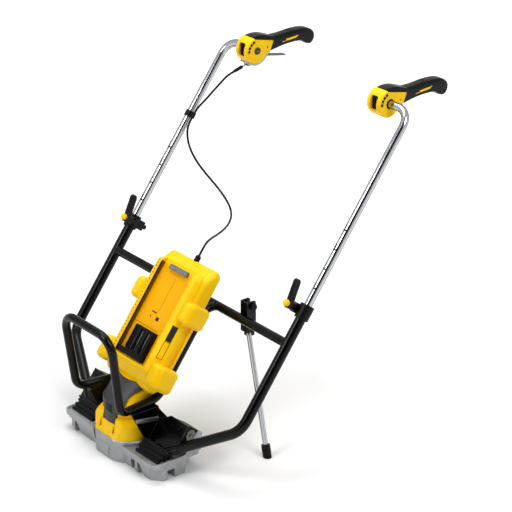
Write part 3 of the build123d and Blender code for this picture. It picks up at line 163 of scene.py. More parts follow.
def worn_edges(finish, radius):
    """Share of wear, 1 on an edge of that radius in mm, and the normal rounded over it."""
    rounded = add(finish, "Bevel", {"Radius": radius * MM}, samples=4).outputs["Normal"]
    flat = add(finish, "NewGeometry").outputs["Normal"]
    facing = add(finish, "VectorMath", {0: rounded, 1: flat}, operation="DOT_PRODUCT")
    return graded(finish, facing.outputs["Value"], 0.0, 1.0, start=0.97, end=0.8), rounded


def moulded_plastic(name, low, high, worn, rough, shine=0.5):
    """Injection-moulded nylon with a spark-eroded skin: an even colour that drifts a little with
    the flow, a soft sheen broken by the fine grain, and paler rubbed edges. The real grain is
    about 0.2 mm and is drawn coarser so that it shows."""
    finish, shader, here = new_finish(name)
    tone = mixed(finish, noise(finish, here, 70, detail=3.0), low, high)
    wear, rounded = worn_edges(finish, 1.2)
    rub = noise(finish, here, 12, detail=4.0)
    patchy = graded(finish, rub, 0.0, 0.6, start=0.45, end=0.7)
    speckle = noise(finish, here, 1.4)
    set_inputs(finish, shader, {
        "Base Color": mixed(finish, combined(finish, wear, patchy), tone, worn),
        "Roughness": graded(finish, rub, rough - 0.05, rough + 0.07),
        "Normal": raised(finish, speckle, 0.12, 0.3, rounded),
        "IOR": 1.53, "Specular IOR Level": shine})
    return finish


def powder_coat(name, colour, dust, rough, rubbed="#1F1F20"):
    """Polyester powder coat baked on steel tube: deep and glossy, with the slight orange peel of
    the flow-out, a trace of site dust in broad patches, and edges in a colour of their own, which
    is bare-looking wear on the tube and a painted highlight on the sheet. The peel is about 2 mm
    across."""
    finish, shader, here = new_finish(name)
    patches = noise(finish, here, 45, detail=5.0, roughness=0.6)
    tone = mixed(finish, graded(finish, patches, 0.0, 0.35, start=0.45, end=0.8), colour, dust)
    wear, rounded = worn_edges(finish, 0.9)
    peel = noise(finish, here, 2.2, detail=1.0)
    set_inputs(finish, shader, {
        # edges take the rubbed colour: wear on the tube, a painted highlight on the sheet
        "Base Color": mixed(finish, wear, tone, rubbed),
        "Roughness": graded(finish, patches, rough - 0.06, rough + 0.12),
        "Normal": raised(finish, peel, 0.1, 0.3, rounded),
        "IOR": 1.5, "Specular IOR Level": 0.18})
    return finish


def plated_steel(name, colour, shadow, rough):
    """Bright plated steel tube: a mirror with faint drawn lines along it, and hazy handling marks.
    The drawn lines are finer than a millimetre and are drawn coarser so that they show."""
    finish, shader, here = new_finish(name)
    turn = Vector((0, 0, 1)).rotation_difference(LEAN_UP).to_euler()
    run = add(finish, "Mapping", {"Vector": here, "Rotation": turn}, vector_type="TEXTURE")
    drawn = add(finish, "Mapping", {"Vector": run.outputs["Vector"], "Scale": (1, 1, 0.01)})
    lines = noise(finish, drawn.outputs["Vector"], 1.1)
    haze = noise(finish, here, 38, detail=4.0)
    set_inputs(finish, shader, {
        "Base Color": mixed(finish, lines, shadow, colour),
        "Roughness": graded(finish, haze, rough, rough + 0.1, start=0.3, end=0.75),
        "Normal": raised(finish, lines, 0.02, 0.2),
        "Metallic": 1.0, "Specular Tint": linear("#55565A")})
    return finish


def sand_cast_aluminium(name):
    """Aluminium cast in sand and shot-blasted: pale grey with a dry sparkle, mottled by the blast,
    with brighter rubbed edges and a skin of grit marks about 1 mm across."""
    finish, shader, here = new_finish(name)
    mottle = noise(finish, here, 24, detail=6.0, roughness=0.65)
    tone = mixed(finish, mottle, "#828385", "#B8B9BA")
    wear, rounded = worn_edges(finish, 1.5)
    grit = noise(finish, here, 1.6, detail=3.0)
    blasted = combined(finish, grit, cells(finish, here, 4.5), "ADD")
    set_inputs(finish, shader, {
        "Base Color": mixed(finish, wear, tone, "#D0D0D0"),
        "Roughness": graded(finish, mottle, 0.36, 0.58),
        "Normal": raised(finish, blasted, 0.22, 0.5, rounded),
        "Metallic": 0.75})
    return finish


def black_rubber(name, colour, bloom, rough, pebble, bite):
    """Moulded rubber: near black with a grey bloom where it flexes and a dull sheen, over a pebbled
    skin. A pebble is about 0.5 mm on the real part and is drawn coarser so that it shows."""
    finish, shader, here = new_finish(name)
    cloud = noise(finish, here, 18, detail=5.0, roughness=0.6)
    wear, rounded = worn_edges(finish, 1.0)
    tone = mixed(finish, graded(finish, cloud, 0.0, 0.7, start=0.45, end=0.85), colour, bloom)
    set_inputs(finish, shader, {
        "Base Color": mixed(finish, combined(finish, wear, 0.5), tone, "#242526"),
        "Roughness": graded(finish, cloud, rough - 0.08, rough + 0.1),
        "Normal": raised(finish, cells(finish, here, pebble), bite, 0.4, rounded),
        "IOR": 1.52, "Specular IOR Level": 0.14})
    return finish


def turned_metal(name, dark, bright, rough, spot):
    """Small machined or plated metal fittings: a cloudy plating with fine tool marks, brighter on
    the edges."""
    finish, shader, here = new_finish(name)
    cloud = noise(finish, here, spot, detail=5.0)
    marks = noise(finish, here, 0.8)
    wear, rounded = worn_edges(finish, 0.6)
    set_inputs(finish, shader, {
        "Base Color": mixed(finish, cloud, dark, bright),
        "Roughness": graded(finish, wear, rough, rough - 0.12),
        "Normal": raised(finish, marks, 0.08, 0.2, rounded),
        "Metallic": 1.0})
    return finish


def circuit_lacquer(name):
    """Green solder lacquer on glass-fibre board: tracks about 1.5 mm apart show through it."""
    finish, shader, here = new_finish(name)
    tracks = add(finish, "TexBrick", {
        "Vector": here, "Scale": grain(6), "Color1": linear("#0E4A2A"), "Color2": linear("#125A34"),
        "Mortar": linear("#1F7A48"), "Mortar Size": 0.08})
    set_inputs(finish, shader, {
        "Base Color": tracks.outputs["Color"],
        "Roughness": graded(finish, noise(finish, here, 15), 0.2, 0.4)})
    return finish


# Covers and bumpers in satin yellow; a deeper yellow sheet paints the shade on the battery bay's
# floor, and a dark amber paints shade along the rails and colours the floor seams
YELLOW = moulded_plastic("moulded_yellow_nylon", "#FFC200", "#FFD500", "#FFE46A", 0.34, shine=0.16)
BAY_SHADE_YELLOW = moulded_plastic("yellow_nylon_painted_bay_shade", "#F0A600", "#F9B700", "#FFCB3A", 0.42,
                             shine=0.14)
# dark amber that paints shade in the bay and along the rails, and colours the floor seams
SHADE_AMBER = moulded_plastic("amber_painted_shade", "#5E3D00", "#704900", "#8A5F08", 0.45,
                              shine=0.3)
# Near-black fittings with a low sheen, a charcoal shroud and a paler grey catch
BLACK_NYLON = moulded_plastic("moulded_black_nylon", "#040404", "#090909", "#202022", 0.36,
                              shine=0.14)
SHROUD_GREY = moulded_plastic("moulded_grey_nylon", "#2B2C2E", "#3A3B3D", "#66676A", 0.42,
                              shine=0.3)
CATCH_GREY = moulded_plastic("moulded_light_grey_nylon", "#626260", "#747472", "#A5A5A2", 0.4)
# Printed film, flat and dull, and a smooth clear lens with a sharp glint
SCREEN_INK = moulded_plastic("screen_printed_ink", "#0C0C0C", "#161616", "#262626", 0.55, shine=0.3)
RED_LENS = moulded_plastic("moulded_red_acrylic", "#B3140C", "#D0221A", "#E0584E", 0.12)
# Black tubes, and sheet whose cut edges carry a painted highlight
BLACK_COAT = powder_coat("black_powder_coat", "#030303", "#0B0B0C", 0.17)
BLACK_SHEET_PAINTED_EDGE_HIGHLIGHT = powder_coat("black_powder_coat_sheet_painted_edge_highlight", "#030303", "#0A0A0B", 0.2, "#77787A")
# Mirror-bright handlebars and a dry grey casting
CHROME = plated_steel("bright_chrome_plate", "#C4C5C8", "#A8AAAD", 0.07)
CASTING = sand_cast_aluminium("sand_cast_aluminium")
# Dull black isolators, a closer-grained grip and a smoother cable sheath
RUBBER = black_rubber("moulded_black_rubber", "#050505", "#0D0D0E", 0.46, 2.0, 0.12)
SOFT_GRIP = black_rubber("soft_grip_elastomer", "#040404", "#0A0A0B", 0.32, 1.5, 0.14)
CABLE_SKIN = black_rubber("cable_sheath_vinyl", "#050506", "#0C0C0D", 0.36, 1.2, 0.06)
# Small fittings: cloudy bright zinc, dark oxide, grey iron and tin
ZINC = turned_metal("zinc_plated_steel", "#8A8B88", "#B4B5B1", 0.34, 5)
BLACKED = turned_metal("black_oxide_steel", "#141414", "#232322", 0.4, 6)
IRON = turned_metal("machined_iron", "#4C4A48", "#6E6C69", 0.45, 8)
BRASS = turned_metal("tin_plated_brass", "#55534E", "#7A776F", 0.34, 6)
# The controller's board
BOARD = circuit_lacquer("green_board_lacquer")

# What each solid of the frame is finished in, by the record's own slot names
SLOT_FINISH = {"yellow_plastic": YELLOW, "black_plastic": BLACK_NYLON, "grey_plastic": SHROUD_GREY,
               "light_plastic": CATCH_GREY, "black_coat": BLACK_COAT, "chrome": CHROME,
               "cast_aluminium": CASTING, "rubber": RUBBER, "steel": ZINC, "iron": IRON,
               "brass": BRASS, "board": BOARD}
for part in frame["record"]["subparts"]:
    solid = NODES[part["node"]]
    solid.data.materials.clear()
    solid.data.materials.append(SLOT_FINISH[part["material_slot"]])
for node, finish in {"isolator_bolts": BLACKED, "kickstand_bolt": BLACKED, "clamp_bolts": BLACKED,
                     "left_saddle_bracket": BLACK_SHEET_PAINTED_EDGE_HIGHLIGHT,
                     "right_saddle_bracket": BLACK_SHEET_PAINTED_EDGE_HIGHLIGHT}.items():
    NODES[node].data.materials[0] = finish


# Modelling
FLOW_STEPS = 5                         # points on a smooth line for each that is given


def nothing_selected():
    """Object mode with nothing selected."""
    if bpy.context.object and bpy.context.object.mode != "OBJECT":
        bpy.ops.object.mode_set(mode="OBJECT")
    bpy.ops.object.select_all(action="DESELECT")


def only(piece):
    """Selects one piece alone and makes it the active one."""
    nothing_selected()
    piece.select_set(True)
    bpy.context.view_layer.objects.active = piece


def work_on(piece):
    """Edit mode on one piece with nothing of it selected."""
    only(piece)
    bpy.ops.object.mode_set(mode="EDIT")
    bpy.ops.mesh.select_mode(type="FACE")
    bpy.ops.mesh.select_all(action="DESELECT")


def pick_edges(piece, wanted):
    """Selects the edges whose two ends are the wanted ones."""
    bpy.ops.mesh.select_mode(type="EDGE")
    mesh = bmesh.from_edit_mesh(piece.data)
    for edge in mesh.edges:
        edge.select_set(bool(wanted(edge.verts[0].co, edge.verts[1].co)))
    bmesh.update_edit_mesh(piece.data)


def closed_up():
    """Merges doubles and turns the faces outwards, in edit mode, and leaves it."""
    bpy.ops.mesh.select_all(action="SELECT")
    bpy.ops.mesh.remove_doubles(threshold=1e-6)
    bpy.ops.mesh.normals_make_consistent(inside=False)
    bpy.ops.object.mode_set(mode="OBJECT")


def set_down(piece, place):
    """Puts a piece in its place, with the place in its mesh."""
    only(piece)
    piece.matrix_world = place
    bpy.ops.object.transform_apply(location=True, rotation=True, scale=True)
    return piece


def cut_plate(name, outline, depth, place, corner=0.0, rim=0.0):
    """Plate cut to an outline in mm, with rounded corners and a softened rim, set in its place."""
    nothing_selected()
    bpy.ops.mesh.primitive_circle_add(vertices=len(outline), radius=MM, fill_type="NGON")
    plate = bpy.context.object
    plate.name = name
    for vertex, (x, y) in zip(plate.data.vertices, outline):
        vertex.co = (x * MM, y * MM, 0)
    work_on(plate)
    bpy.ops.mesh.select_mode(type="VERT")
    bpy.ops.mesh.select_all(action="SELECT")
    if corner:
        bpy.ops.mesh.bevel(offset=corner * MM, segments=4, affect="VERTICES")
        bpy.ops.mesh.select_all(action="SELECT")
    bpy.ops.mesh.extrude_region_move(TRANSFORM_OT_translate={"value": (0, 0, depth * MM)})
    bpy.ops.mesh.select_all(action="SELECT")
    bpy.ops.mesh.normals_make_consistent(inside=False)
    if rim:
        bpy.ops.mesh.select_all(action="DESELECT")
        top = depth * MM * 0.999
        pick_edges(plate, lambda a, b: a.z > top and b.z > top)
        bpy.ops.mesh.bevel(offset=rim * MM, segments=3, affect="EDGES")
    closed_up()
    return set_down(plate, place)


def lathe(name, profile, place, sides):
    """Round piece drawn up ring by ring from radii and heights in mm, set in its place."""
    nothing_selected()
    radius, height = profile[0]
    bpy.ops.mesh.primitive_circle_add(vertices=sides, radius=radius * MM, fill_type="NGON",
                                      location=(0, 0, height * MM))
    piece = bpy.context.object
    piece.name = name
    bpy.ops.object.transform_apply(location=True)
    work_on(piece)
    bpy.ops.mesh.select_all(action="SELECT")
    for next_radius, next_height in profile[1:]:
        rise = (0, 0, (next_height - height) * MM)
        bpy.ops.mesh.extrude_region_move(TRANSFORM_OT_translate={"value": rise})
        share = next_radius / radius
        bpy.ops.transform.resize(value=(share, share, 1), center_override=(0, 0, next_height * MM))
        radius, height = next_radius, next_height
    closed_up()
    return set_down(piece, place)


def copy_of(piece, name, move):
    """Copy of a finished piece with its own mesh, moved by a matrix."""
    only(piece)
    bpy.ops.object.duplicate()
    made = bpy.context.object
    made.name = name
    return set_down(made, move)


def box_outline(wide, high):
    """Corners of a box about the origin."""
    x, y = wide / 2, high / 2
    return [(-x, -y), (x, -y), (x, y), (-x, y)]


def sheet(name, wide, high, thick, across=12):
    """Thin sheet of mm sizes about the origin, divided so that it can follow a curve."""
    nothing_selected()
    bpy.ops.mesh.primitive_grid_add(x_subdivisions=across, y_subdivisions=1, size=MM)
    piece = bpy.context.object
    piece.name = name
    piece.scale = (wide, high, 1)
    bpy.ops.object.transform_apply(scale=True)
    work_on(piece)
    bpy.ops.mesh.select_all(action="SELECT")
    bpy.ops.mesh.extrude_region_move(TRANSFORM_OT_translate={"value": (0, 0, thick * MM)})
    closed_up()
    return piece


def laid(piece, rule):
    """Moves each point of a piece to where a rule puts its place in mm."""
    for vertex in piece.data.vertices:
        vertex.co = rule(*(vertex.co / MM))
    return piece


def along(start, way):
    """Place at a point with z along a direction."""
    turned = Vector(way).to_track_quat("Z", "Y").to_matrix()
    return Matrix.Translation(Vector(start)) @ turned.to_4x4()


def flowing(points):
    """Smooth line through points, as more points."""
    line = []
    ends = [points[0]] + points + [points[-1]]
    for near in zip(ends, ends[1:], ends[2:], ends[3:]):
        for i in range(FLOW_STEPS):
            t = i / FLOW_STEPS
            line.append([0.5 * (2 * b + (c - a) * t + (2 * a - 5 * b + 4 * c - d) * t * t
                                + (3 * b - a - 3 * c + d) * t ** 3) for a, b, c, d in zip(*near)])
    return line + [list(points[-1])]


def joined(name, pieces):
    """Several pieces as one."""
    nothing_selected()
    for piece in pieces:
        piece.select_set(True)
    bpy.context.view_layer.objects.active = pieces[0]
    bpy.ops.object.join()
    pieces[0].name = name
    return pieces[0]


def done(piece, finish, slot, body, angle=35):
    """Finish, smooth faces and the body that a piece moves with."""
    only(piece)
    bpy.ops.object.shade_smooth_by_angle(angle=math.radians(angle))
    piece.data.materials.clear()
    piece.data.materials.append(finish)
    if body:
        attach(piece, body)
    return piece


# Control cable, in metres: the route from the boot to the clip and from the clip to the gland
CABLE_DIAMETER = 5.6 * MM
CLIP_X = -315.2
CLIP_S = 606
BOOT_START = Vector((-0.2405, 0.5545, 0.775))
BOOT_END = Vector((-0.255, 0.527, 0.758))
BOOT_LEAD = BOOT_END + 18 * MM * (BOOT_END - BOOT_START).normalized()
UPPER_ROUTE = [BOOT_END, BOOT_LEAD, (-0.272, 0.504, 0.734), (-0.287, 0.489, 0.709),
               (-0.303, 0.473, 0.681), lean(CLIP_X, CLIP_S + 28, 0), lean(CLIP_X, CLIP_S, 0)]
LOWER_ROUTE = [lean(CLIP_X, CLIP_S, 0), lean(CLIP_X, CLIP_S - 18, 0),
               (-0.312, 0.421, 0.601), (-0.303, 0.420, 0.570),
               (-0.286, 0.427, 0.537), (-0.262, 0.438, 0.507), (-0.235, 0.449, 0.481),
               (-0.205, 0.454, 0.457), (-0.173, 0.447, 0.441), (-0.140, 0.425, 0.435),
               (-0.106, 0.391, 0.437), (-0.077, 0.354, 0.442), (-0.051, 0.314, 0.449),
               (-0.030, 0.281, 0.457), (-0.015, 0.256, 0.462), (-0.005, 0.237, 0.461),
               lean(0, 328, 58), lean(0, 310, 58)]


def cable_stretch(name, route, node, sideways=False):
    """One stretch of the control cable, as a tube on a smooth line through its route."""
    line = bpy.data.curves.new(name, "CURVE")
    line.dimensions = "3D"
    spline = line.splines.new("NURBS")
    spline.points.add(len(route) - 1)
    for point, place in zip(spline.points, route):
        point.co = (*place, 1)
    spline.order_u = 3
    spline.use_endpoint_u = True
    tube = bpy.data.objects.new(name, line)
    bpy.context.scene.collection.objects.link(tube)
    bare = bpy.data.meshes.new_from_object(tube)
    path = [tuple(v.co) for v in bare.vertices]
    bpy.data.meshes.remove(bare)
    line.bevel_depth = CABLE_DIAMETER / 2
    line.bevel_resolution = 4
    line.use_fill_caps = True
    only(tube)
    bpy.ops.object.convert(target="MESH")
    tube = bpy.context.object
    done(tube, CABLE_SKIN, "rubber", None, angle=60)
    far = (path[-1][0], *path[0][1:]) if sideways else path[-1]
    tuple(path[0])
    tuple(far)
    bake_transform(tube)
    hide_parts(node)
    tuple(path[0])


cable_stretch("control_cable_upper", UPPER_ROUTE,
              "upper_cable")
cable_stretch("control_cable_lower", LOWER_ROUTE,
              "lower_cable", sideways=True)

# Grip overmould, seen from the side: mm behind and above the stub axis
SLEEVE_ROUND = [(60, 23), (88, 22.5), (124, 24), (158, 23), (182, 17), (197, 3), (196, -13),
                (184, -23), (168, -19), (150, -9), (108, -7.5), (45, -15)]
SLEEVE_FRONT = [(57, 14)]
SLEEVE_HALF = 15.5
SLEEVE_EDGE = 7.0
SAME_CORNER = 0.2                      # mm within which two corners are one
SLEEVE_WAIST = [(40, 1.0), (66, 0.99), (82, 0.94), (104, 0.96), (132, 1.04), (165, 1.03),
                (186, 0.97), (200, 0.86)]      # place behind the axis and share of the width
SADDLE_TOP = [(-8, 35), (14, 36), (34, 32.5), (60, 23)]
SADDLE_FRONT = [(57, 14), (-8, 30)]
SADDLE_HALF = 17.0
SADDLE_EDGE = 2.6
SADDLE_SOFT = 22.9                     # edges above this are rounded
BAND = [(86, 1.5), (131, 4.5), (141, 10.5), (95, 7.5)]
BAND_SUNK, BAND_PROUD = 0.2, 0.35
TOP_RIBS = (118, 124, 130)
TOP_RIB = (18, 1.6, 1.2)               # wide, long and high
TOP_RIB_SUNK = 0.4
CREST_AT, CREST_REACH = 124, 36        # the sleeve's top line, which the ribs follow
CREST_FOOT, CREST_RISE = 23.2, 0.8

# Fittings of the hub, in mm
HUB_HALF = 22.5
WINDOW = (22.0, 34.0)
WINDOW_GAP = 0.3
WINDOW_AT = (-25.0, 4.0)               # behind and above the stub axis
WINDOW_RIB = (1.8, 26)
WINDOW_DEPTH, WINDOW_RIB_DEPTH = 0.6, 3.0
WINDOW_RIBS = (-6, 0, 6)
SLOT = (7.0, 7.2)
SLOT_DEPTH, SLOT_PROUD = 2.0, 0.15
SLOT_RADIUS = 26.0
SLOT_ANGLES = (115, 135, 155, 175)
NECK_SCREW = [(3.3, -0.5), (3.3, 0.25), (2.6, 0.4), (1.5, 0.1)]
NECK_SCREW_AT = 36
BAR_ENTRY_SHADE_RING = [(12.4, -0.5), (12.2, 0.4), (11.4, 1.0), (10.0, 1.3)]
RIDGE = [(5.2, 0), (5.2, 0.5), (4.4, 0.9)]
RIDGE_SHARES = (0.85, 0.26)            # length and height of the lock's ridge, as shares of a disc
RIDGE_SEAT = 2.9
CHEEK_SPAN = (-122, -14)               # degrees round the stub axis
CHEEK_STEPS = 16
CHEEK_REACH = 39.0
CHEEK_SEAT = 33.6
CHEEK_WIDTHS = (9, 20.5)
SIDEWAYS = ((0, 1, 0), (0, 0, 1))
FACING = ((1, 0, 0), (0, 0, 1))


def grip_place(side):
    """Middle of a grip on its stub axis."""
    return Matrix.Translation(STUB + Vector((SIDES[side] * HUB_MIDDLE * MM, 0, 0)))


def waist(y):
    """Share of the sleeve's width that far behind the stub axis."""
    for (y0, share0), (y1, share1) in zip(SLEEVE_WAIST, SLEEVE_WAIST[1:]):
        if y <= y1:
            t = max(0.0, (y - y0) / (y1 - y0))
            return share0 + (share1 - share0) * t * t * (3 - 2 * t)
    return SLEEVE_WAIST[-1][1]


def waisted(x, y, z):
    """Rule that draws a piece in with the sleeve's waist."""
    return Vector((x * waist(y), y, z)) * MM


def side_plate(name, outline, inner, outer, **settings):
    """Plate of a side outline in mm behind and above the stub axis, between two widths."""
    return cut_plate(name, outline, outer - inner, axes((inner * MM, 0, 0), *SIDEWAYS), **settings)


def grip_sleeve():
    """Soft sleeve with a flared pommel: its side outline, rounded and drawn in at the waist."""
    outline = flowing(SLEEVE_ROUND) + SLEEVE_FRONT
    sleeve = side_plate("grip_sleeve", outline, -SLEEVE_HALF, SLEEVE_HALF)
    front = [Vector((y, z)) for y, z in (SLEEVE_ROUND[0], SLEEVE_FRONT[0], SLEEVE_ROUND[-1])]

    def at_front(point):
        return any((point.yz / MM - corner).length < SAME_CORNER for corner in front)

    work_on(sleeve)
    pick_edges(sleeve, lambda a, b: abs(a.x - b.x) < MM and not (at_front(a) and at_front(b)))
    bpy.ops.mesh.bevel(offset=SLEEVE_EDGE * MM, segments=6, affect="EDGES")
    closed_up()
    return laid(sleeve, waisted)


def grip_saddle():
    """Tongue of the overmould that lies over the hub, with soft edges."""
    outline = flowing(SADDLE_TOP) + SADDLE_FRONT
    saddle = side_plate("grip_saddle", outline, -SADDLE_HALF, SADDLE_HALF)
    low = SADDLE_SOFT * MM
    work_on(saddle)
    pick_edges(saddle, lambda a, b: abs(a.x - b.x) < MM and a.z > low and b.z > low)
    bpy.ops.mesh.bevel(offset=SADDLE_EDGE * MM, segments=4, affect="EDGES")
    closed_up()
    return saddle


def top_rib(y):
    """Low finger rib across the top of the sleeve."""
    wide, long, high = TOP_RIB
    top = CREST_FOOT + CREST_RISE * (1 - ((y - CREST_AT) / CREST_REACH) ** 2)
    return cut_plate("top_rib", box_outline(wide, long), high,
                     axes((0, y * MM, (top - TOP_RIB_SUNK) * MM), (1, 0, 0), (0, 1, 0)),
                     corner=0.7, rim=0.5)


def grip_cover(side):
    """Overmould with its finger ribs, and the yellow bands let into it."""
    body = side + "_grip"
    shapes = [grip_sleeve(), grip_saddle()] + [top_rib(y) for y in TOP_RIBS]
    cover = joined(side + "_grip_cover", shapes)
    done(set_down(cover, grip_place(side)), SOFT_GRIP, "rubber", body, angle=40)
    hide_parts(side + "_grip_sleeve")
    low, high = SLEEVE_HALF - BAND_SUNK, SLEEVE_HALF + BAND_PROUD
    bands = [side_plate("band", BAND, low, high, corner=1.2),
             side_plate("band", BAND, -high, -low, corner=1.2)]
    bands = laid(joined(side + "_grip_bands", bands), waisted)
    done(set_down(bands, grip_place(side)), YELLOW, "yellow_plastic", body)


def grip_inserts(side):
    """Dark fittings of a hub: ribbed window, vent slots, neck screws, and a dark ring that paints
    the shadow round the bar where it enters.
    """
    wide, tall = (size - 2 * WINDOW_GAP for size in WINDOW)
    dark = [cut_plate("window", box_outline(wide, tall), WINDOW_DEPTH,
                      axes(Vector((0, *WINDOW_AT)) * MM, *FACING), corner=4.5)]
    for x in WINDOW_RIBS:
        dark.append(cut_plate("window_rib", box_outline(*WINDOW_RIB), WINDOW_RIB_DEPTH,
                              axes(Vector((x, *WINDOW_AT)) * MM, *FACING), corner=0.6, rim=0.4))
    slot_depth = SLOT_DEPTH + SLOT_PROUD
    for angle in SLOT_ANGLES:
        c, s = math.cos(math.radians(angle)), math.sin(math.radians(angle))
        for x in (HUB_HALF - SLOT_DEPTH, -HUB_HALF - SLOT_PROUD):
            place = axes(Vector((x, SLOT_RADIUS * c, SLOT_RADIUS * s)) * MM, (0, c, s), (0, -s, c))
            dark.append(cut_plate("slot", box_outline(*SLOT), slot_depth, place, corner=0.8))
    for way in (1, -1):
        place = along(Vector((way * SADDLE_HALF, NECK_SCREW_AT, 0)) * MM, (way, 0, 0))
        dark.append(lathe("neck_screw", NECK_SCREW, place, sides=20))
    # a black ring round the bar's entry paints the shadow there
    outer = SIDES[side]
    place = along(Vector((outer * HUB_HALF, 0, 0)) * MM, (outer, 0, 0))
    dark.append(lathe("bar_entry_shade_ring", BAR_ENTRY_SHADE_RING, place, sides=36))
    inserts = joined(side + "_grip_inserts", dark)
    done(set_down(inserts, grip_place(side)), BLACK_NYLON, "black_plastic", side + "_grip")


def lock_ridge(side):
    """Raised bar on the cap of a grip's lock button."""
    def rule(x, y, z):
        out = HUB_HALF + RIDGE_SEAT + z
        return Vector((-SIDES[side] * out, RIDGE_SHARES[0] * x, RIDGE_SHARES[1] * y)) * MM

    ridge = laid(lathe("ridge", RIDGE, along((0, 0, 0), (0, 0, 1)), sides=24), rule)
    work_on(ridge)
    closed_up()
    ridge.name = side + "_lock_ridge"
    done(set_down(ridge, grip_place(side)), CATCH_GREY, "light_plastic", side + "_grip_lock")


def trigger_cheeks():
    """Pressed cheeks of the trigger bracket, round the underside of the left hub."""
    first, last = map(math.radians, CHEEK_SPAN)
    angles = [first + (last - first) * i / CHEEK_STEPS for i in range(CHEEK_STEPS + 1)]
    outline = [(CHEEK_REACH * math.cos(a), CHEEK_REACH * math.sin(a)) for a in angles]
    outline += [(CHEEK_SEAT * math.cos(a), CHEEK_SEAT * math.sin(a)) for a in reversed(angles)]
    low, high = CHEEK_WIDTHS
    cheeks = [side_plate("cheek", outline, low, high, rim=1.0),
              side_plate("cheek", outline, -high, -low, rim=1.0)]
    done(set_down(joined("trigger_cheeks", cheeks), grip_place("left")), ZINC, "steel", "left_grip")


for hand in SIDES:
    grip_cover(hand)
    grip_inserts(hand)
    lock_ridge(hand)
trigger_cheeks()

# Height scale on the handlebars, in mm: what each mark says and where it is along the tube
BAR_RADIUS = 9.5
SCALE_MARKS = {"4": 367, "3": 417, "2": 467, "1": 517}
MARK = (14.0, 4.2)
MARK_CUTS = 40
MARK_SHIFT = 2.0                       # the scale faces a little to the left
DIGIT_SIZE = 14.0
DIGIT_RISE = 5.0                       # above its mark
DIGIT_BOLD = 0.8
DIGIT_CUTS = 7                         # fine enough that no chord dips into the tube
INK = 0.012                            # a print film, which passes the guide bushes


def on_bar(side, s):
    """Rule that lays a flat piece on the front of a handlebar tube."""
    def rule(u, v, w):
        turn, reach = (u - MARK_SHIFT) / BAR_RADIUS, BAR_RADIUS + w
        return lean(SIDES[side] * TUBE_X + reach * math.sin(turn), s + v, reach * math.cos(turn))
    return rule


def numeral(digit):
    """Printed digit, lying flat and finely divided."""
    nothing_selected()
    bpy.ops.object.text_add()
    text = bpy.context.object
    text.data.body = digit
    text.data.size = DIGIT_SIZE * MM
    text.data.align_x = "CENTER"
    text.data.extrude = INK * MM
    text.data.offset = DIGIT_BOLD * MM
    bpy.ops.object.convert(target="MESH")
    digit_mesh = bpy.context.object
    work_on(digit_mesh)
    bpy.ops.mesh.select_all(action="SELECT")
    bpy.ops.mesh.quads_convert_to_tris()
    bpy.ops.mesh.subdivide(number_cuts=DIGIT_CUTS)
    closed_up()
    return digit_mesh


def height_scale(side):
    """Marks and digits of one handlebar."""
    marks = []
    for digit, s in SCALE_MARKS.items():
        marks.append(laid(sheet("mark", *MARK, INK, MARK_CUTS), on_bar(side, s)))
        marks.append(laid(numeral(digit), on_bar(side, s + DIGIT_RISE)))
    scale = joined(side + "_height_scale", marks)
    work_on(scale)
    closed_up()
    done(scale, SCREEN_INK, "black_plastic", side + "_handlebar")


for hand in SIDES:
    height_scale(hand)

# Weld beads where the cross tube meets the side tubes and the cradle, in mm
SIDE_RADIUS = 12.7
CROSS_RADIUS = 11.0
CROSS_S = 226.0
CRADLE_RADIUS = 10.5
CRADLE_X = 72.0
BEAD_RADIUS = 1.9
RIPPLES = 24
RIPPLE_SHARE = 0.16


def weld_bead(radius, rule):
    """Rippled bead round a tube, laid on the line where it meets another."""
    nothing_selected()
    bpy.ops.mesh.primitive_torus_add(major_radius=radius * MM, minor_radius=BEAD_RADIUS * MM,
                                     major_segments=96, minor_segments=10)
    bead = bpy.context.object

    def rippled(x, y, z):
        turn = math.atan2(y, x)
        swell = 1 + RIPPLE_SHARE * math.sin(RIPPLES * turn)
        reach = radius + (math.hypot(x, y) - radius) * swell
        return rule(reach * math.cos(turn), reach * math.sin(turn), z * swell)

    return laid(bead, rippled)


def to_side_tube(side):
    """Rule for the joint of the cross tube with a side tube."""
    def rule(a, b, c):
        dip = math.sqrt(SIDE_RADIUS ** 2 - min(abs(b), CROSS_RADIUS) ** 2)
        return lean(side * (TUBE_X - dip - c), CROSS_S + a, b)
    return rule


def to_cross_tube(side):
    """Rule for the joint of the cradle with the cross tube."""
    axis = lean(0, CROSS_S, 0)

    def rule(a, b, c):
        dip = math.sqrt(CROSS_RADIUS ** 2 - min(abs(b), CRADLE_RADIUS) ** 2)
        return Vector((side * CRADLE_X * MM + a * MM, axis.y - (dip + c) * MM, axis.z + b * MM))
    return rule


beads = [weld_bead(CROSS_RADIUS, to_side_tube(side)) for side in SIDES.values()]
beads += [weld_bead(CRADLE_RADIUS, to_cross_tube(side)) for side in SIDES.values()]
beads = joined("frame_weld_beads", beads)
work_on(beads)
closed_up()
done(beads, BLACK_COAT, "black_coat", "frame")

# Battery bay: small marks and mouldings, in mm across, along and in front of the leaning tubes
BAY_FLOOR = 89.0
BAY_HALF = 59.0
BAY_TRIM = (0, 140, 117.6, 238)        # across, along, wide and high, as in the tables below
BAY_TRIM_THICK = 0.4
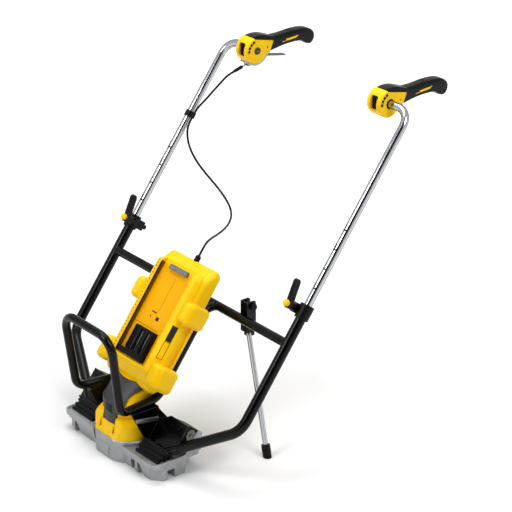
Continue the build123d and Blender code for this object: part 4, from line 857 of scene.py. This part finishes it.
# the line at the right rail's edge is painted shade; the seam and the step are marks of the floor
SEAMS = {"seam": (0, 191, 0.8, 88), "step": (-15, 105, 88, 1.0),
         "right_rail_shade_line": (57.4, 140, 0.9, 236)}
SEAM_PROUD = 0.35
WALL_S = 141
WALL = (238, 13)
WALL_H = 96.6
WALL_THICK, WALL_PROUD = 0.3, 0.15
GROOVE = (238, 4.4)
GROOVE_H = 100.6
GROOVE_THICK, GROOVE_PROUD = 0.4, 0.25
RAIL_FRONT = 104.6
RAIL_ROUND = 20.0
RAIL_ROUND_X = 64.0
DASH_X = -66.0
DASH = (2.1, 4.6)
DASHES = 27
DASH_RUN = (31.0, 260.0)
LABEL_TURN = 20.0                      # mm round the right rail from its crest
LABELS = [("side_label_black", 98, 138, 15.0, 0.35, SCREEN_INK, "black_plastic"),
          ("side_label_rim", 53, 97, 15.0, 0.3, SCREEN_INK, "black_plastic"),
          ("side_label_yellow", 54.2, 95.8, 12.6, 0.45, YELLOW, "yellow_plastic")]
SUNK = 0.2                             # how far a mark sits in the face below it
CHARGE_WINDOW = (7.4, 131, 11, 9)
CHARGE_BAR = (-12, 143, 18, 3.2)
CHARGE_LIGHT = [(2.6, -0.3), (2.6, 0.5), (2.2, 1.0), (1.3, 1.4), (0.4, 1.5)]
CHARGE_LIGHT_AT = (-18, 131)
CATCH_S, CATCH_H = 256.5, 95.8
CATCH_RIB = (1.8, 9.0)
CATCH_RIBS = range(-24, 25, 8)
TERMINAL_H = 99.6
GUIDE_S = 69
GUIDE = (4.0, 58)
GUIDES = (-32.5, -12, 12, 32.5)
GUIDE_BRIDGE = (0, 96.5, 62, 3.4)
BLADE_S = 72
BLADE = (1.2, 36)
BLADES = (-1.5, 21.5)
BOSS_RADII = (9.0, 4.2)
BOSS_STEPS = 40
BOSS_THICK = 1.2
BOSS_AT = (22.5, 288, 69)
HOOD_SLOPE = 0.835 * LEAN_UP - 0.55 * LEAN_OUT


def chip(name, x, s, h, wide, high, thick, corner=0.0, rim=0.0):
    """Small plate on the leaning frame, about its middle."""
    return cut_plate(name, box_outline(wide, high), thick, on_lean(x, s, h), corner, rim)


def on_floor(name, mark, h, thick, corner=0.0, rim=0.0):
    """Small plate from a row of the tables above."""
    x, s, wide, high = mark
    return chip(name, x, s, h, wide, high, thick, corner, rim)


def rail_dashes():
    """Row of dashes on the left rail, in dark amber that paints the shade in their moulded slots.
    """
    first, last = DASH_RUN
    step = (last - first) / (DASHES - 1)
    drop = RAIL_ROUND - math.sqrt(RAIL_ROUND ** 2 - (abs(DASH_X) - RAIL_ROUND_X) ** 2)
    dash = chip("dash", DASH_X, first, RAIL_FRONT - drop - SUNK, *DASH, thick=0.5, corner=0.8)
    dashes = [copy_of(dash, "dash", Matrix.Translation(LEAN_UP * step * i * MM))
              for i in range(1, DASHES)]
    done(joined("rail_dashes", [dash] + dashes), SHADE_AMBER, "black_plastic", "frame")


def bay_lines():
    """Floor of the bay in painted shade with its seams, a painted shade line along the right rail,
    and painted shade on the left rail's wall and in the grooves of the rails.
    """
    # a deeper yellow sheet on the floor paints the shade inside the bay
    floor = on_floor("bay_floor_painted_shade", BAY_TRIM, BAY_FLOOR - SUNK, BAY_TRIM_THICK)
    done(floor, BAY_SHADE_YELLOW, "yellow_plastic", "frame")
    lines = [on_floor(name, mark, BAY_FLOOR, SEAM_PROUD) for name, mark in SEAMS.items()]
    done(joined("bay_seams", lines), SHADE_AMBER, "yellow_plastic", "frame")
    # a dark amber sheet on the left rail's inner wall paints the shade that falls on it
    wall = cut_plate("rail_wall_painted_shade", box_outline(*WALL), WALL_THICK,
                     axes(lean(WALL_PROUD - BAY_HALF, WALL_S, WALL_H), -LEAN_UP, LEAN_OUT))
    done(wall, SHADE_AMBER, "yellow_plastic", "frame")
    # black strips along both rail walls paint the shadow in the grooves under the rails
    grooves = []
    for side in SIDES.values():
        middle = lean(side * (BAY_HALF - GROOVE_PROUD), WALL_S, GROOVE_H)
        grooves.append(cut_plate("groove_shade", box_outline(*GROOVE), GROOVE_THICK,
                                 axes(middle, LEAN_UP * side, LEAN_OUT)))
    done(joined("rail_groove_shade", grooves), BLACK_NYLON, "black_plastic", "frame")


def on_rail_round(u, v, w):
    """Rule that lays a flat piece on the right rail's rounded outer side."""
    turn, reach = u / RAIL_ROUND, RAIL_ROUND + w
    return lean(RAIL_ROUND_X + reach * math.sin(turn), v,
                RAIL_FRONT - RAIL_ROUND + reach * math.cos(turn))


def side_labels():
    """Two bare name places on the right rail, the lower one yellow with a dark rim."""
    for name, low, high, wide, proud, finish, slot in LABELS:
        label = sheet(name, wide, high - low, proud)
        middle = (low + high) / 2
        laid(label, lambda x, y, z: on_rail_round(x + LABEL_TURN, y + middle, z))
        work_on(label)
        closed_up()
        done(label, finish, slot, "frame")


def bay_signals():
    """Charge window with its bar, and the red charge light."""
    window = [on_floor("window", CHARGE_WINDOW, BAY_FLOOR - SUNK, thick=0.7, corner=1.2, rim=0.3),
              on_floor("bar", CHARGE_BAR, BAY_FLOOR - SUNK, thick=0.45, corner=0.8)]
    done(joined("charge_window", window), SCREEN_INK, "black_plastic", "frame")
    lens = lathe("charge_light", CHARGE_LIGHT, on_lean(*CHARGE_LIGHT_AT, BAY_FLOOR), sides=20)
    done(lens, RED_LENS, "light_plastic", "frame")


def catch_ribs():
    """Bright ribs on the battery catch."""
    ribs = [chip("rib", x, CATCH_S, CATCH_H, *CATCH_RIB, thick=0.9, corner=0.6, rim=0.4)
            for x in CATCH_RIBS]
    done(joined("catch_ribs", ribs), ZINC, "steel", "frame")


def terminal_guides():
    """Guide ribs of the terminal block, and bright zinc strips between them for the contact blades,
    which paint the highlight lines along them.
    """
    guides = [chip("guide", x, GUIDE_S, TERMINAL_H, *GUIDE, thick=3.4, corner=0.8, rim=0.8)
              for x in GUIDES]
    guides.append(on_floor("guide", GUIDE_BRIDGE, TERMINAL_H, thick=3.0, corner=0.8, rim=0.8))
    done(joined("terminal_guides", guides), BLACK_NYLON, "black_plastic", "frame")
    # bright zinc strips paint the highlight lines of the contacts
    blades = [chip("contact_highlight_strip", x, BLADE_S, TERMINAL_H, *BLADE, thick=2.4, corner=0.4, rim=0.4)
              for x in BLADES]
    done(joined("terminal_highlight_strips", blades), ZINC, "steel", "frame")


def hood_mark():
    """Blank oval boss on the hood's slope."""
    turns = [math.tau * i / BOSS_STEPS for i in range(BOSS_STEPS)]
    oval = [(BOSS_RADII[0] * math.cos(turn), BOSS_RADII[1] * math.sin(turn)) for turn in turns]
    place = axes(lean(*BOSS_AT), (1, 0, 0), HOOD_SLOPE)
    boss = cut_plate("hood_boss", oval, BOSS_THICK, place, rim=0.5)
    done(boss, YELLOW, "yellow_plastic", "frame")


rail_dashes()
bay_lines()
side_labels()
bay_signals()
catch_ribs()
terminal_guides()
hood_mark()

# Lower end and small fittings, in mm, but the kickstand's foot in metres
SHROUD_RADIUS = 65.3
SHROUD_PANEL = (26, 22, 0.5)
SHROUD_PANEL_Z = 127
WASHER = [(14.0, 0), (14.0, 1.4), (13.2, 2.0), (7.0, 2.0), (6.2, 1.2), (3.8, 1.2), (3.4, 3.6),
          (2.6, 4.2)]
WASHER_AT = (184, -69.5, -12)
STRIP = [(-49, 114), (14, 101), (14, 113.5), (-53, 127)]
STRIP_X = 91
STRIP_THICK = 1.6
NOTCH_STARTS = (-165, 88)              # left ends of the base's front notches
WEB_OUTLINE = [(-66, 2), (-44, 2), (-44, 31), (-69.5, 31), (-69.5, 7)]
WEB = 8.0
WEB_IN_NOTCH = 19
BOOT_PROFILE = [(1.3, -3.0), (1.3, 8.5), (2.6, 9.0), (2.9, 9.6), (2.9, 11.0), (3.9, 11.6)]
for rib in (14.0, 18.0, 22.0, 26.0):
    BOOT_PROFILE += [(4.7, rib - 1.0), (4.7, rib + 1.0), (4.0, rib + 1.4), (4.0, rib + 2.6)]
BOOT_PROFILE += [(4.3, 30.0), (3.7, 33.0), (3.3, 35.4)]
CLAMP_DOME = [(7.9, -1.5), (7.9, 0.8), (7.2, 2.2), (5.6, 3.2), (3.2, 3.8), (0.8, 4.0)]
CLAMP_DOME_AT = (312, 308.5, 50)
FOOT = Vector((0.252, 0.2145, 0))
FOOT_TOP = Vector((0.160, 0.2314, 0.300))
FOOT_RADIUS = 10.5
FOOT_RIBS = (13, 18.5, 24)
FOOT_RIB = [(-0.4, -1.7), (0.8, -0.8), (0.8, 0.8), (-0.4, 1.7)]


def shroud_panel():
    """Bare plate on the front of the motor shroud."""
    def rule(u, v, w):
        turn, reach = u / SHROUD_RADIUS, SHROUD_RADIUS + w
        return Vector((reach * math.sin(turn), -reach * math.cos(turn), v + SHROUD_PANEL_Z)) * MM
    panel = laid(sheet("shroud_panel", *SHROUD_PANEL, across=14), rule)
    work_on(panel)
    closed_up()
    done(panel, BLACK_NYLON, "black_plastic", "frame")


def isolator_washers():
    """Plated washers on the outer ends of the rear isolators."""
    x, s, h = WASHER_AT
    discs = [lathe("washer", WASHER, along(lean(side * x, s, h), (side, 0, 0)), sides=40)
             for side in SIDES.values()]
    done(joined("isolator_washers", discs), BRASS, "brass", "frame")


def gusset_highlight_strips():
    """Bright zinc strips on the outer faces of the frame's gussets, a painted highlight along each
    gusset's top edge.
    """
    strips = []
    for side in SIDES.values():
        outline = [(side * y, z) for y, z in STRIP]
        place = axes(Vector((side * STRIP_X, 0, 0)) * MM, (0, side, 0), (0, 0, 1))
        strips.append(cut_plate("gusset_highlight_strip", outline, STRIP_THICK, place, corner=1.5, rim=0.8))
    done(joined("gusset_highlight_strips", strips), ZINC, "steel", "frame")


def base_webs():
    """Cast webs that part the two pockets in each front notch of the base."""
    webs = [cut_plate("web", WEB_OUTLINE, WEB,
                      axes(Vector((start + WEB_IN_NOTCH, 0, 0)) * MM, *SIDEWAYS), rim=1.5)
            for start in NOTCH_STARTS]
    done(joined("base_webs", webs), CASTING, "cast_aluminium", "frame")


def cable_boot():
    """Ribbed boot of the control cable, with the bare wire in front of it."""
    place = along(BOOT_START, BOOT_END - BOOT_START)
    boot = lathe("control_cable_boot", BOOT_PROFILE, place, sides=28)
    done(boot, RUBBER, "rubber", "left_grip", angle=30)
    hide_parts("cable_boot")


def clamp_domes():
    """Domed caps of the clamp buttons."""
    x, s, h = CLAMP_DOME_AT
    for side, way in SIDES.items():
        place = along(lean(way * x, s, h), LEAN_OUT)
        dome = lathe(side + "_clamp_dome", CLAMP_DOME, place, sides=36)
        done(dome, YELLOW, "yellow_plastic", side + "_lever_button", angle=60)


def foot_ribs():
    """Round ribs on the kickstand's rubber foot."""
    ribs = []
    for place in FOOT_RIBS:
        profile = [(FOOT_RADIUS + out, place + up) for out, up in FOOT_RIB]
        ribs.append(lathe("foot_ribs", profile, along(FOOT, FOOT_TOP - FOOT), sides=28))
    done(joined("foot_ribs", ribs), RUBBER, "rubber", "kickstand", angle=30)


shroud_panel()
isolator_washers()
gusset_highlight_strips()
base_webs()
cable_boot()
clamp_domes()
foot_ribs()

# Floor, light and camera, in metres
CAMERA_AT = Vector((3.3720, -2.4007, 2.4367))
CAMERA_AZIMUTH = math.radians(50.41)
CAMERA_ELEVATION = math.radians(25.12)
LENS = 139.42
SENSOR = 36.0
CAMERA_SIGHT = 100.0
FLOOR_SIZE = 40
FLOOR_GLOW = (0.0, 0.72)               # near the object and from a few metres away
GLOW_REACH = (0.3, 2.6)
ROOM_LIGHT = 0.44                      # the room's light on matt faces
ROOM_SEEN = 0.85                       # the room as mirrors show it
# Edges of the dark flag, as parts of a direction: where the room is clear and where it is dark
FLAG_EDGES = [("X", 0.92, 0.84), ("X", 0.0, 0.14), ("Z", 0.14, 0.3), ("Y", -0.1, -0.3)]
SOFTBOXES = [("key_softbox", (-0.7, 0.3, 3.0), (0, 0.25, 0.35), 1.8, 44),
             ("fill_softbox", (2.1, 0.5, 2.6), (0, 0.25, 0.4), 1.4, 36),
             ("front_softbox", (-0.2, -1.7, 2.05), (0, 0.3, 0.5), 0.9, 23)]


def seen_directly(finish):
    """1 for rays from the camera, mirror or glass, 0 for light on its way to a matt face."""
    path = add(finish, "LightPath").outputs
    first = combined(finish, path["Is Camera Ray"], path["Is Glossy Ray"], "MAXIMUM")
    return combined(finish, first, path["Is Transmission Ray"], "MAXIMUM")


def studio_floor():
    """Matt pale paper sweep, with the faint mottle of card and a little light of its own, so that
    it stays white away from the lamps and keeps the shadow."""
    nothing_selected()
    bpy.ops.mesh.primitive_plane_add(size=FLOOR_SIZE, location=(0, 0, 0))
    floor = bpy.context.object
    floor.name = "studio_floor"
    finish, shader, here = new_finish("pale_paper")
    away = add(finish, "VectorMath", {0: here}, operation="LENGTH").outputs["Value"]
    rise = graded(finish, away, *FLOOR_GLOW, *GLOW_REACH)
    set_inputs(finish, shader, {
        "Base Color": mixed(finish, noise(finish, here, 300), "#F6F6F6", "#FAFAFA"),
        "Roughness": 0.9, "Specular IOR Level": 0.1, "Emission Color": linear("#FFFFFF"),
        "Emission Strength": combined(finish, seen_directly(finish), rise)})
    floor.data.materials.append(finish)


def softbox(name, at, towards, size, power):
    """Square softbox aimed at a point."""
    lamp = bpy.data.lights.new(name, "AREA")
    lamp.energy = power
    lamp.shape = "SQUARE"
    lamp.size = size
    box = bpy.data.objects.new(name, lamp)
    bpy.context.scene.collection.objects.link(box)
    box.location = at
    box.rotation_mode = "QUATERNION"
    box.rotation_quaternion = (Vector(towards) - Vector(at)).to_track_quat("-Z", "Y")


def studio_world():
    """Pale room with a dark flag in front, so that bright metal has something to show. The camera
    itself sees plain white behind the floor."""
    world = bpy.data.worlds.new("studio_room")
    bpy.context.scene.world = world
    world.use_nodes = True
    world.node_tree.nodes.clear()
    way = add(world, "TexCoord").outputs["Generated"]
    apart = add(world, "SeparateXYZ", {"Vector": way})
    flag = 1.0
    for axis, clear, dark in FLAG_EDGES:
        edge = graded(world, apart.outputs[axis], 0.0, 1.0, clear, dark,
                      interpolation_type="SMOOTHSTEP")
        flag = combined(world, flag, edge)
    room = mixed(world, flag, "#F4F5F7", "#161617")
    level = graded(world, seen_directly(world), ROOM_LIGHT, ROOM_SEEN)
    camera_ray = add(world, "LightPath").outputs["Is Camera Ray"]
    sky = add(world, "Background", {"Color": mixed(world, camera_ray, room, "#FFFFFF"),
                                    "Strength": combined(world, level, camera_ray, "MAXIMUM")})
    add(world, "OutputWorld", {"Surface": sky.outputs["Background"]})


def photo_camera():
    """Camera at the photograph's own angle."""
    lens = bpy.data.cameras.new("photo_camera")
    lens.lens = LENS
    lens.sensor_width = SENSOR
    lens.clip_end = CAMERA_SIGHT
    camera = bpy.data.objects.new("photo_camera", lens)
    bpy.context.scene.collection.objects.link(camera)
    level = math.cos(CAMERA_ELEVATION)
    back = Vector((math.sin(CAMERA_AZIMUTH) * level, -math.cos(CAMERA_AZIMUTH) * level,
                   math.sin(CAMERA_ELEVATION)))
    camera.location = CAMERA_AT
    camera.rotation_mode = "QUATERNION"
    camera.rotation_quaternion = (-back).to_track_quat("-Z", "Y")
    bpy.context.scene.camera = camera


studio_floor()
studio_world()
for lamp_row in SOFTBOXES:
    softbox(*lamp_row)
photo_camera()
bpy.context.scene.view_settings.view_transform = "Standard"

nothing_selected()
